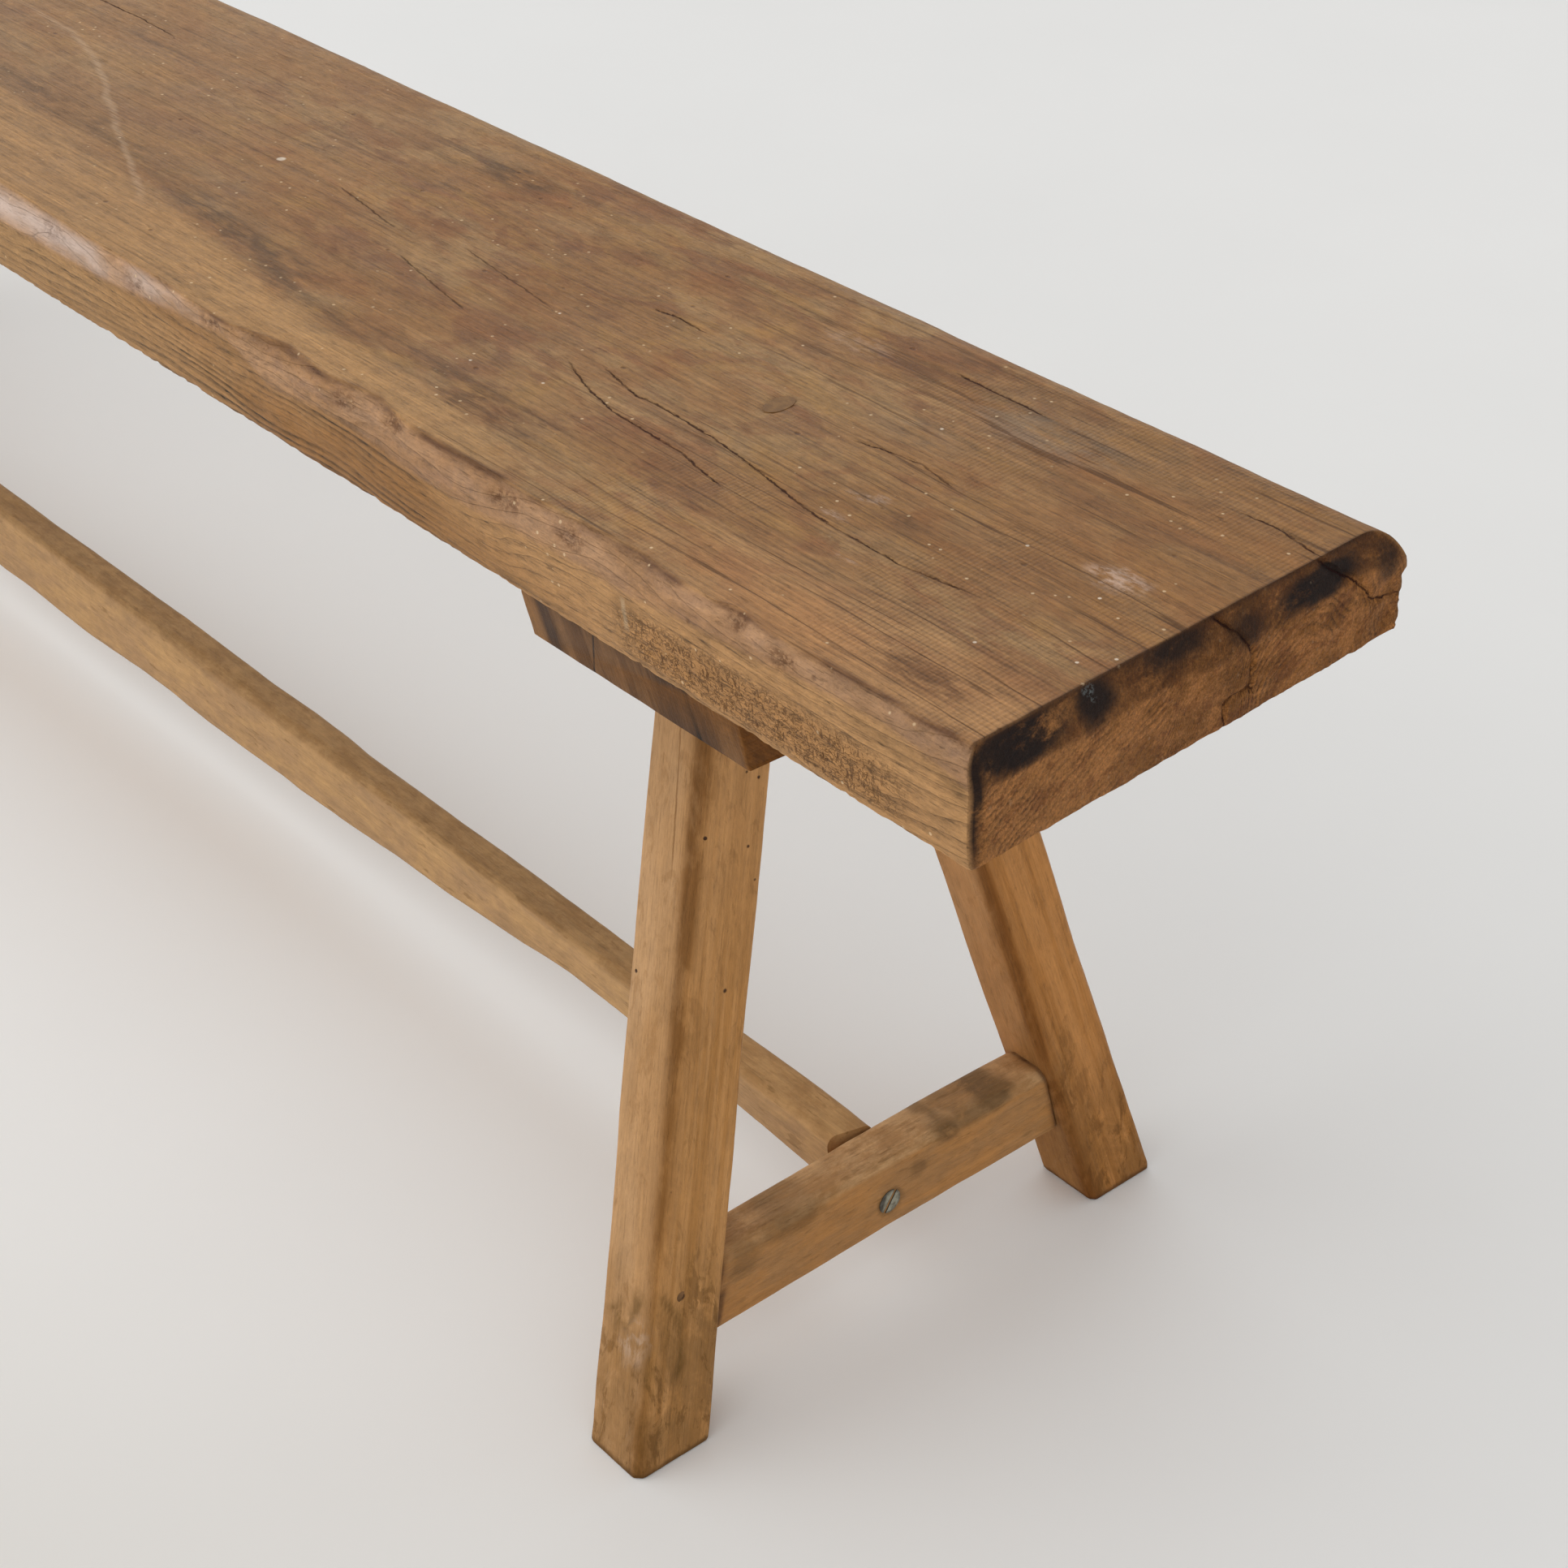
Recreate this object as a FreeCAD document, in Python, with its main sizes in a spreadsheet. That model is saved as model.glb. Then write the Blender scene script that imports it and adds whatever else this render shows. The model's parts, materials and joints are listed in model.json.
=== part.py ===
import FreeCAD, Part
import Sketcher
import math
import os

# Rustic backless bench: one thick plank on two splayed leg frames.
# Frame of the model: +X along the seat, towards its right-hand end; -Y is the front;
# +Z up. The origin is on the floor, under the middle of the bench. Millimetres.

doc = FreeCAD.newDocument("backless_bench")
V = FreeCAD.Vector

# --------------------------------------------------------------- driving sizes
SIZES = [
    ("seat_length", 1800.0, "seat plank, end to end along the front edge"),
    ("seat_width", 250.0, "seat plank, front to back at its underside"),
    ("seat_thick", 50.0, "seat plank thickness"),
    ("seat_height", 450.0, "floor to the top of the seat"),
    ("front_swell", 3.5, "how far the waney front edge swells past the underside"),
    ("front_drop", 16.0, "height of the waney facet at the top of the front edge"),
    ("front_set", 6.5, "depth of the waney facet"),
    ("back_round", 23.0, "radius of the worn back top edge"),
    ("skew_right", 14.0, "how far the right end is sawn out of square"),
    ("skew_left", 6.0, "how far the left end is sawn out of square"),
    ("end_bevel_run", 7.0, "bevel on the end's top edge, along the seat"),
    ("end_bevel_drop", 15.0, "bevel on the end's top edge, down the end"),
    ("cleat_thick", 23.5, "cleat under the seat, thickness"),
    ("cleat_width", 150.0, "cleat, along the seat"),
    ("cleat_inset", 6.0, "cleat ends back from the seat's edges"),
    ("cleat_middle", 694.2, "middle of the cleat from the middle of the bench"),
    ("cleat_lean", 9.0, "lean of the cleat's outer side, wider at the bottom"),
    ("cleat_slope", 8.0, "lean of the cleat's inner side"),
    ("leg_top_out", 666.0, "leg axis at the shoulder, along the seat"),
    ("leg_top_side", 47.4, "leg axis at the shoulder, from the centre line"),
    ("leg_foot_out", 725.5, "leg axis at the floor, along the seat"),
    ("leg_foot_side", 147.8, "leg axis at the floor, from the centre line"),
    ("leg_wide", 36.7, "leg, level section along the seat"),
    ("leg_deep", 41.8, "leg, level section across the seat"),
    ("leg_corner", 5.5, "flat on each corner of a leg"),
    ("foot_growth", 1.024, "foot section over shoulder section"),
    ("leg_tenon_wide", 22.0, "through tenon at the top of a leg, along the seat"),
    ("leg_tenon_deep", 26.0, "through tenon at the top of a leg, across the seat"),
    ("fit_gap", 0.15, "gap each side of a tenon"),
    ("wedge_thick", 4.0, "wedge, thick end"),
    ("wedge_tip", 0.8, "wedge, thin end"),
    ("wedge_length", 19.0, "wedge, length down the tenon"),
    ("rail_low", 47.0, "underside of the cross stretcher"),
    ("rail_high", 87.4, "top of the cross stretcher"),
    ("rail_out", 714.3, "middle of the cross stretcher, along the seat"),
    ("rail_thick", 27.4, "cross stretcher thickness"),
    ("rail_tenon_thick", 12.0, "cross stretcher tenon thickness"),
    ("rail_tenon_low", 50.0, "underside of the tenon"),
    ("rail_tenon_high", 86.0, "top of the tenon"),
    ("rail_tenon_reach", 137.0, "tenon end from the centre line"),
    ("rail_round", 3.5, "worn long edges of the cross stretcher"),
    ("beam_end_low", 57.2, "underside of the long stretcher at its ends"),
    ("beam_neck_low", 60.0, "underside of the long stretcher where the hewn taper ends"),
    ("beam_belly", 38.6, "underside of the long stretcher along its deep middle"),
    ("beam_flat", 180.0, "half the length of the deep middle"),
    ("beam_neck", 475.0, "end of the hewn taper, from the middle of the bench"),
    ("beam_high", 87.4, "top of the long stretcher"),
    ("beam_thick", 24.4, "long stretcher thickness"),
    ("beam_side", 1.0, "long stretcher's middle from the centre line"),
    ("beam_round", 2.5, "worn long edges of the long stretcher"),
    ("screw_head", 13.0, "stretcher screw head diameter"),
    ("screw_cone", 3.9, "stretcher screw head height"),
    ("screw_shank", 6.3, "stretcher screw shank diameter"),
    ("screw_core", 4.9, "stretcher screw threaded length, diameter"),
    ("screw_long", 82.0, "stretcher screw length"),
    ("screw_level", 62.9, "height of the stretcher screw"),
    ("slot_wide", 1.7, "screwdriver slot width"),
    ("slot_deep", 1.6, "screwdriver slot depth"),
    ("peg_dia", 5.2, "peg diameter"),
    ("peg_long", 30.0, "peg length"),
    ("peg_level", 82.6, "height of the peg's head"),
    ("peg_side", 130.6, "peg from the centre line"),
    ("plug_long", 18.5, "seat plug, across the seat"),
    ("plug_wide", 10.5, "seat plug, along the seat"),
    ("plug_deep", 9.0, "seat plug depth"),
    ("plug_out", 642.3, "seat plug from the middle of the bench"),
    ("plug_side", 3.9, "seat plug from the centre line"),
    ("small_head", 9.5, "cleat and seat screws, head diameter"),
    ("small_cone", 2.8, "cleat and seat screws, head height"),
    ("small_shank", 4.8, "cleat and seat screws, shank diameter"),
    ("small_core", 3.6, "cleat and seat screws, threaded length, diameter"),
    ("cleat_screw_long", 58.0, "cleat screw length"),
    ("seat_screw_long", 58.0, "seat screw length"),
    ("small_slot_wide", 1.3, "slot width of the smaller screws"),
    ("small_slot_deep", 1.2, "slot depth of the smaller screws"),
]
sheet = doc.addObject("Spreadsheet::Sheet", "sizes")
for row, (alias, value, note) in enumerate(SIZES, 1):
    sheet.set("A%d" % row, alias)
    sheet.set("B%d" % row, repr(value))
    sheet.setAlias("B%d" % row, alias)
    sheet.set("C%d" % row, note)
doc.recompute()


class Size:
    """A length that knows both its number and the expression it comes from."""

    def __init__(self, value, text):
        self.value, self.text = float(value), text

    @staticmethod
    def of(x):
        return x if isinstance(x, Size) else Size(x, "(%.9g)" % x)

    def __add__(self, o):
        o = Size.of(o)
        return Size(self.value + o.value, "(%s + %s)" % (self.text, o.text))

    __radd__ = __add__

    def __sub__(self, o):
        o = Size.of(o)
        return Size(self.value - o.value, "(%s - %s)" % (self.text, o.text))

    def __rsub__(self, o):
        return Size.of(o) - self

    def __mul__(self, o):
        o = Size.of(o)
        return Size(self.value * o.value, "(%s * %s)" % (self.text, o.text))

    __rmul__ = __mul__

    def __truediv__(self, o):
        o = Size.of(o)
        return Size(self.value / o.value, "(%s / %s)" % (self.text, o.text))

    def __neg__(self):
        return Size(-self.value, "(-1 * %s)" % self.text)


S = {alias: Size(value, "sizes." + alias) for alias, value, note in SIZES}


# ------------------------------------------------------------------- helpers
def bind(obj, prop, size):
    obj.setExpression(prop, Size.of(size).text)


def set_place(obj, x, y, z, rotation=None):
    """Puts obj at a place whose three coordinates follow the sheet."""
    x, y, z = Size.of(x), Size.of(y), Size.of(z)
    obj.Placement = FreeCAD.Placement(
        V(x.value, y.value, z.value), rotation or FreeCAD.Rotation()
    )
    bind(obj, "Placement.Base.x", x)
    bind(obj, "Placement.Base.y", y)
    bind(obj, "Placement.Base.z", z)


def new_body(label):
    body = doc.addObject("PartDesign::Body", label + "_body")
    body.Label = label
    return body


def origin_plane(body, role):
    return [f for f in body.Origin.OriginFeatures if f.Role == role][0]


def outline(body, name, role, points, lift=None):
    """A closed straight-sided sketch on one of the body's own origin planes.
    Every corner is held by two driven distances from the origin."""
    sketch = body.newObject("Sketcher::SketchObject", name)
    sketch.AttachmentSupport = [(origin_plane(body, role), "")]
    sketch.MapMode = "FlatFace"
    if lift is not None:
        lift = Size.of(lift)
        sketch.AttachmentOffset = FreeCAD.Placement(
            V(0, 0, lift.value), FreeCAD.Rotation()
        )
        bind(sketch, "AttachmentOffset.Base.z", lift)
    points = [(Size.of(a), Size.of(b)) for a, b in points]
    n = len(points)
    corner = [V(a.value, b.value, 0) for a, b in points]
    for i in range(n):
        sketch.addGeometry(Part.LineSegment(corner[i], corner[(i + 1) % n]), False)
    for i in range(n):
        sketch.addConstraint(Sketcher.Constraint("Coincident", i, 2, (i + 1) % n, 1))
    for i, (a, b) in enumerate(points):
        for kind, size, axis in (("DistanceX", a, -2), ("DistanceY", b, -1)):
            if abs(size.value) < 1e-9:
                sketch.addConstraint(Sketcher.Constraint("PointOnObject", i, 1, axis))
            elif size.value > 0:
                k = sketch.addConstraint(
                    Sketcher.Constraint(kind, -1, 1, i, 1, size.value)
                )
                sketch.setExpression("Constraints[%d]" % k, size.text)
            else:
                k = sketch.addConstraint(
                    Sketcher.Constraint(kind, i, 1, -1, 1, -size.value)
                )
                sketch.setExpression("Constraints[%d]" % k, (-size).text)
    return sketch


def pad(body, sketch, name, length, midplane=False):
    feature = body.newObject("PartDesign::Pad", name)
    feature.Profile = sketch
    length = Size.of(length)
    feature.Length = length.value
    bind(feature, "Length", length)
    if midplane:
        feature.Midplane = True
    return feature


def edges_where(shape, test):
    """Names of the edges whose ends both pass the test."""
    return [
        "Edge%d" % (i + 1)
        for i, e in enumerate(shape.Edges)
        if len(e.Vertexes) == 2 and all(test(v.Point) for v in e.Vertexes)
    ]


def dress(body, kind, name, base, edges, size_name, size):
    feature = body.newObject("PartDesign::" + kind, name)
    feature.Base = (base, edges)
    setattr(feature, size_name, Size.of(size).value)
    bind(feature, size_name, size)
    return feature


def cut(label, base, tools):
    """base less every tool; the tools stay objects of their own."""
    if len(tools) > 1:
        tool = doc.addObject("Part::Compound", label + "_tools")
        tool.Links = tools
        tool.Label = label + "_tools"
    else:
        tool = tools[0]
    made = doc.addObject("Part::Cut", label + "_cut")
    made.Base = base
    made.Tool = tool
    made.Label = label
    return made


nodes = []


# ------------------------------------------------------------ shared heights
under_seat = S["seat_height"] - S["seat_thick"]  # top of the cleats
shoulder = under_seat - S["cleat_thick"]  # underside of the cleats
half_width = S["seat_width"] / 2


def leg_axis(z):
    """Place of a leg's axis at height z, for the right-hand back leg."""
    share = Size.of(z) / shoulder
    out = S["leg_foot_out"] + (S["leg_top_out"] - S["leg_foot_out"]) * share
    side = S["leg_foot_side"] + (S["leg_top_side"] - S["leg_foot_side"]) * share
    return out, side


def leg_growth(z):
    """Section of a leg at height z, over its section at the shoulder."""
    return S["foot_growth"] + (1 - S["foot_growth"]) * (Size.of(z) / shoulder)


# ------------------------------------------------------------------- wedges
# One wedge in each through tenon. Its faces look along Y, so that it spreads the
# tenon along the grain of the cleat.
def level_box(body, name, z, out, side, wide, deep):
    x0, x1 = out - wide / 2, out + wide / 2
    y0, y1 = side - deep / 2, side + deep / 2
    return outline(body, name, "XY_Plane", [(x0, y0), (x1, y0), (x1, y1), (x0, y1)], z)


def loft(body, name, low, high):
    feature = body.newObject("PartDesign::AdditiveLoft", name)
    feature.Profile = low
    feature.Sections = [high]
    feature.Ruled = True
    return feature


def make_wedge(label, sx, sy):
    body = new_body(label)
    top, low = under_seat, under_seat - S["wedge_length"]
    out, side = leg_axis(low)
    a = level_box(body, label + "_thin_end", low, sx * out, sy * side, S["leg_tenon_wide"], S["wedge_tip"])
    out, side = leg_axis(top)
    b = level_box(body, label + "_thick_end", top, sx * out, sy * side, S["leg_tenon_wide"], S["wedge_thick"])
    loft(body, label + "_loft", a, b)
    return body


# --------------------------------------------------------------------- legs
def leg_section(body, name, z, sx, sy):
    out, side = leg_axis(z)
    k = leg_growth(z)
    hx, hy, c = S["leg_wide"] * k / 2, S["leg_deep"] * k / 2, S["leg_corner"]
    ring = [
        (-1, -1, 0, 1), (-1, -1, 1, 0), (1, -1, 1, 0), (1, -1, 0, 1),
        (1, 1, 0, 1), (1, 1, 1, 0), (-1, 1, 1, 0), (-1, 1, 0, 1),
    ]
    points = []
    for px, py, cx, cy in ring:
        points.append((sx * out + px * (hx - cx * c), sy * side + py * (hy - cy * c)))
    return outline(body, name, "XY_Plane", points, z)


def make_leg_blank(label, sx, sy):
    """Leg and its through tenon, before the mortise, kerf and peg hole are cut."""
    body = new_body(label + "_blank")
    foot = leg_section(body, label + "_foot_section", Size.of(0), sx, sy)
    top = leg_section(body, label + "_shoulder_section", shoulder, sx, sy)
    loft(body, label + "_shaft", foot, top)
    out, side = leg_axis(shoulder)
    a = level_box(body, label + "_tenon_root", shoulder, sx * out, sy * side, S["leg_tenon_wide"], S["leg_tenon_deep"])
    out, side = leg_axis(under_seat)
    b = level_box(body, label + "_tenon_end", under_seat, sx * out, sy * side, S["leg_tenon_wide"], S["leg_tenon_deep"])
    loft(body, label + "_tenon", a, b)
    return body


def make_cleat_mortise(label, sx, sy):
    """The leaning square hole in a cleat that a leg's tenon goes through."""
    body = new_body(label)
    wide, deep = S["leg_tenon_wide"] + 2 * S["fit_gap"], S["leg_tenon_deep"] + 2 * S["fit_gap"]
    out, side = leg_axis(shoulder - 1)
    a = level_box(body, label + "_low", shoulder - 1, sx * out, sy * side, wide, deep)
    out, side = leg_axis(under_seat + 1)
    b = level_box(body, label + "_high", under_seat + 1, sx * out, sy * side, wide, deep)
    loft(body, label + "_loft", a, b)
    return body


def make_rail_mortise(label, sx, sy):
    """The blind square hole in a leg for the cross stretcher's tenon."""
    gap = S["fit_gap"]
    box = doc.addObject("Part::Box", label)
    box.Label = label
    bind(box, "Length", S["rail_tenon_thick"] + 2 * gap)
    bind(box, "Height", S["rail_tenon_high"] - S["rail_tenon_low"] + 2 * gap)
    bind(box, "Width", S["rail_tenon_reach"] + 1 - 60)
    low_y = Size.of(60) if sy > 0 else -(S["rail_tenon_reach"] + 1)
    set_place(
        box,
        sx * S["rail_out"] - S["rail_tenon_thick"] / 2 - gap,
        low_y,
        S["rail_tenon_low"] - gap,
    )
    return box


def make_peg(label, sx, sy):
    """Round peg, square to the leg's outer face, across the tenon. Its head is flush."""
    z = S["peg_level"]
    out, side = leg_axis(z)
    lean = math.degrees(
        math.atan2(S["leg_foot_out"].value - S["leg_top_out"].value, shoulder.value)
    )
    rod = doc.addObject("Part::Cylinder", label + "_rod")
    rod.Label = label
    bind(rod, "Radius", S["peg_dia"] / 2)
    bind(rod, "Height", S["peg_long"])
    face = out + S["leg_wide"] * leg_growth(z) / 2
    set_place(
        rod, sx * face, sy * S["peg_side"], z,
        FreeCAD.Rotation(V(0, 1, 0), -sx * (90.0 + lean)),
    )
    return rod


# ------------------------------------------------------------------- screws
def make_screw_blank(label, head, cone, shank, core, length, plain):
    """Countersunk wood screw without its slot: head at z = 0, point downwards."""
    body = new_body(label + "_blank")
    r_head, r_shank, r_core = head / 2, shank / 2, core / 2
    sketch = outline(
        body, label + "_profile", "XZ_Plane",
        [
            (0, 0), (r_head, 0), (r_head, -0.4), (r_shank, -cone),
            (r_shank, -plain), (r_core, -(plain + 2)), (r_core, -(length - 8)), (0, -length),
        ],
    )
    turn = body.newObject("PartDesign::Revolution", label + "_turn")
    turn.Profile = sketch
    turn.ReferenceAxis = (sketch, ["V_Axis"])
    turn.Angle = 360
    return body


def make_slot(label, head, wide, deep):
    slot = doc.addObject("Part::Box", label + "_slot")
    slot.Label = label + "_slot"
    bind(slot, "Length", head + 2)
    bind(slot, "Width", wide)
    bind(slot, "Height", deep + 1)
    return slot


def make_screw(label, x, y, z, rotation, turned, size):
    """A screw at a place: returns (blank, slotted screw)."""
    head, cone, shank, core, length, plain, slot_wide, slot_deep = size
    blank = make_screw_blank(label, head, cone, shank, core, length, plain)
    slot = make_slot(label, head, slot_wide, slot_deep)
    set_place(blank, x, y, z, rotation)
    spin = rotation.multiply(FreeCAD.Rotation(V(0, 0, 1), turned))
    corner = spin.multVec(V(-(head.value + 2) / 2, -slot_wide.value / 2, -slot_deep.value))
    slot.Placement = FreeCAD.Placement(
        V(Size.of(x).value, Size.of(y).value, Size.of(z).value) + corner, spin
    )
    return blank, cut(label, blank, [slot])


BIG = (
    S["screw_head"], S["screw_cone"], S["screw_shank"], S["screw_core"],
    S["screw_long"], S["rail_thick"] + 6, S["slot_wide"], S["slot_deep"],
)
CLEAT = (
    S["small_head"], S["small_cone"], S["small_shank"], S["small_core"],
    S["cleat_screw_long"], S["cleat_thick"] + 2, S["small_slot_wide"], S["small_slot_deep"],
)
SEAT = (
    S["small_head"], S["small_cone"], S["small_shank"], S["small_core"],
    S["seat_screw_long"], S["seat_thick"] - S["plug_deep"], S["small_slot_wide"], S["small_slot_deep"],
)
UP = FreeCAD.Rotation()
DOWN = FreeCAD.Rotation(V(1, 0, 0), 180)

seat_cutters = []
for side_name, sx in (("right", 1), ("left", -1)):
    # ---- the two legs of this end, with their wedges and pegs
    wedges, pegs = {}, {}
    for face_name, sy in (("front", -1), ("back", 1)):
        name = face_name + "_" + side_name
        wedges[sy] = make_wedge("wedge_" + name, sx, sy)
        pegs[sy] = make_peg("peg_" + name, sx, sy)
        blank = make_leg_blank("leg_" + name, sx, sy)
        mortise = make_rail_mortise("leg_mortise_" + name, sx, sy)
        leg = cut("leg_" + name, blank, [mortise, wedges[sy], pegs[sy]])
        nodes += [leg, wedges[sy], pegs[sy]]

    # ---- stretcher screw, from the outer face of the cross stretcher inwards
    outward = FreeCAD.Rotation(V(0, 1, 0), 90 * sx)
    screw_blank, screw = make_screw(
        "stretcher_screw_" + side_name,
        sx * (S["rail_out"] + S["rail_thick"] / 2), -0.6, S["screw_level"],
        outward, -33 if sx > 0 else 40, BIG,
    )
    nodes.append(screw)

    # ---- cross stretcher: shoulders follow the lean of the legs
    body = new_body("cross_stretcher_%s_blank" % side_name)
    low, high = S["rail_low"], S["rail_high"]
    reach = []
    for z in (low, high):
        out, side = leg_axis(z)
        reach.append(side - S["leg_deep"] * leg_growth(z) / 2)
    sketch = outline(
        body, "rail_%s_profile" % side_name, "YZ_Plane",
        [(-reach[0], low), (reach[0], low), (reach[1], high), (-reach[1], high)],
    )
    rail = pad(body, sketch, "rail_%s_pad" % side_name, S["rail_thick"], True)
    doc.recompute()
    long_edges = edges_where(
        rail.Shape, lambda p: abs(p.z - high.value) < 1e-4
    ) + edges_where(rail.Shape, lambda p: abs(p.z - low.value) < 1e-4)
    long_edges = [
        e for e in sorted(set(long_edges))
        if rail.Shape.Edges[int(e[4:]) - 1].Length > S["rail_thick"].value + 5
    ]
    dress(body, "Fillet", "rail_%s_wear" % side_name, rail, long_edges, "Radius", S["rail_round"])
    sketch = outline(
        body, "rail_%s_tenons" % side_name, "YZ_Plane",
        [
            (-S["rail_tenon_reach"], S["rail_tenon_low"]), (S["rail_tenon_reach"], S["rail_tenon_low"]),
            (S["rail_tenon_reach"], S["rail_tenon_high"]), (-S["rail_tenon_reach"], S["rail_tenon_high"]),
        ],
    )
    pad(body, sketch, "rail_%s_tenon_pad" % side_name, S["rail_tenon_thick"], True)
    set_place(body, sx * S["rail_out"], 0, 0)
    nodes.append(cut("cross_stretcher_" + side_name, body, [screw_blank, pegs[-1], pegs[1]]))
    if sx > 0:
        screw_blank_right = screw_blank
    else:
        screw_blank_left = screw_blank

    # ---- seat plug and the screw under it
    ellipse = doc.addObject("Part::Ellipse", "plug_%s_outline" % side_name)
    ellipse.Label = "plug_%s_outline" % side_name
    bind(ellipse, "MajorRadius", S["plug_long"] / 2)
    bind(ellipse, "MinorRadius", S["plug_wide"] / 2)
    set_place(
        ellipse, sx * S["plug_out"], S["plug_side"], S["seat_height"] - S["plug_deep"],
        FreeCAD.Rotation(V(0, 0, 1), 90 + sx * 11),
    )
    plug = doc.addObject("Part::Extrusion", "seat_plug_%s_solid" % side_name)
    plug.Label = "seat_plug_" + side_name
    plug.Base = ellipse
    plug.DirMode = "Custom"
    plug.Dir = V(0, 0, 1)
    bind(plug, "LengthFwd", S["plug_deep"])
    plug.Solid = True
    nodes.append(plug)
    seat_screw_blank, seat_screw = make_screw(
        "seat_screw_" + side_name, sx * S["plug_out"], S["plug_side"],
        S["seat_height"] - S["plug_deep"], UP, 35 * sx, SEAT,
    )
    nodes.append(seat_screw)

    # ---- cleat screws, up through the cleat into the seat
    group, group_blanks = [], []
    for i, (dx, y) in enumerate(((-54, -98), (-54, 98), (52, -82), (52, 82))):
        blank, screw = make_screw(
            "cleat_screw_%s_%d" % (side_name, i + 1), sx * (S["cleat_middle"] + dx), y,
            shoulder, DOWN, 17 + 31 * i, CLEAT,
        )
        group.append(screw)
        group_blanks.append(blank)
    screws = doc.addObject("Part::Compound", "cleat_screws_%s_group" % side_name)
    screws.Links = group
    screws.Label = "cleat_screws_" + side_name
    nodes.append(screws)

    # ---- cleat: board across the seat, its inner side sloped low down, its outer side leaning
    body = new_body("cleat_%s_blank" % side_name)
    middle, half = S["cleat_middle"], S["cleat_width"] / 2
    inner, outer = sx * (middle - half), sx * (middle + half)
    sketch = outline(
        body, "cleat_%s_profile" % side_name, "XZ_Plane",
        [
            (inner, under_seat), (sx * (middle + half - S["cleat_lean"]), under_seat), (outer, shoulder),
            (sx * (middle - half + S["cleat_slope"]), shoulder), (inner, under_seat - 6),
        ],
    )
    board = pad(body, sketch, "cleat_%s_pad" % side_name, S["seat_width"] - 2 * S["cleat_inset"], True)
    mortises = [make_cleat_mortise("cleat_mortise_%s_%s" % (n, side_name), sx, sy) for n, sy in (("front", -1), ("back", 1))]
    nodes.append(cut("cleat_" + side_name, body, mortises + [seat_screw_blank] + group_blanks))
    seat_cutters += [plug, seat_screw_blank] + group_blanks

# ------------------------------------------------------------ long stretcher
# hewn from one pole: deep along the middle, shallow towards both ends
body = new_body("long_stretcher_blank")
reach = S["rail_out"] - S["rail_thick"] / 2
underside = [
    (reach, S["beam_end_low"]), (S["beam_neck"], S["beam_neck_low"]), (S["beam_flat"], S["beam_belly"]),
]
sketch = outline(
    body, "beam_profile", "XZ_Plane",
    [(-x, z) for x, z in underside] + [(x, z) for x, z in reversed(underside)]
    + [(reach, S["beam_high"]), (-reach, S["beam_high"])],
)
beam = pad(body, sketch, "beam_pad", S["beam_thick"], True)
doc.recompute()
long_edges = [
    "Edge%d" % (i + 1) for i, e in enumerate(beam.Shape.Edges) if e.Length > 200
]
dress(body, "Fillet", "beam_wear", beam, long_edges, "Radius", S["beam_round"])
set_place(body, 0, S["beam_side"], 0)
nodes.append(cut("long_stretcher", body, [screw_blank_right, screw_blank_left]))

# ---------------------------------------------------------------- seat plank
body = new_body("seat_plank_blank")
top = S["seat_height"]
swell = half_width + S["front_swell"]
sketch = outline(
    body, "plank_profile", "YZ_Plane",
    [
        (-half_width, under_seat), (half_width, under_seat), (half_width, top),
        (-(swell - S["front_set"]), top), (-swell, top - S["front_drop"]),
    ],
)
plank = pad(body, sketch, "plank_pad", S["seat_length"], True)
doc.recompute()
volume = plank.Shape.Volume
half_length = S["seat_length"] / 2


def sawn_end(name, base, sx, skew, far_side):
    """Saws one end out of square: the corner on the far side comes back by skew."""
    slope = skew / S["seat_width"]
    near_x = half_length + slope * 40
    far_x = half_length - skew - slope * 40
    sketch = outline(
        body, name + "_line", "XY_Plane",
        [
            (sx * near_x, -far_side * (half_width + 40)), (sx * (half_length + 60), -far_side * (half_width + 40)),
            (sx * (half_length + 60), far_side * (half_width + 40)), (sx * far_x, far_side * (half_width + 40)),
        ],
        top + 10,
    )
    saw = body.newObject("PartDesign::Pocket", name)
    saw.Profile = sketch
    saw.Type = "ThroughAll"
    doc.recompute()
    if not saw.Shape.Volume < base.Shape.Volume - 1000:
        raise RuntimeError("the saw cut %s removes nothing" % name)
    return saw


saw_right = sawn_end("right_end", plank, 1, S["skew_right"], 1)
saw_left = sawn_end("left_end", saw_right, -1, S["skew_left"], -1)
back_edge = edges_where(
    saw_left.Shape,
    lambda p: abs(p.z - top.value) < 1e-4 and abs(p.y - half_width.value) < 1e-4,
)
dress(body, "Fillet", "worn_back", saw_left, back_edge, "Radius", S["back_round"])


def bevel_cutter(name, sx, skew):
    """The waste above the bevel along the top edge of a sawn end."""
    tool = new_body(name)
    run, drop = S["end_bevel_run"], S["end_bevel_drop"]
    sketch = outline(
        tool, name + "_profile", "XZ_Plane",
        [
            (sx * (-1.5 * run), top + 0.5 * drop), (sx * (0.5 * run), top - 1.5 * drop),
            (sx * (0.5 * run + 30), top - 1.5 * drop), (sx * (0.5 * run + 30), top + 0.5 * drop),
        ],
    )
    pad(tool, sketch, name + "_pad", S["seat_width"] + 60, True)
    angle = math.degrees(math.atan2(skew.value, S["seat_width"].value))
    set_place(tool, sx * (half_length - skew / 2), 0, 0, FreeCAD.Rotation(V(0, 0, 1), angle))
    return tool


bevels = [
    bevel_cutter("bevel_right", 1, S["skew_right"]),
    bevel_cutter("bevel_left", -1, S["skew_left"]),
]
nodes.append(cut("seat_plank", body, bevels + seat_cutters))

doc.recompute()

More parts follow.
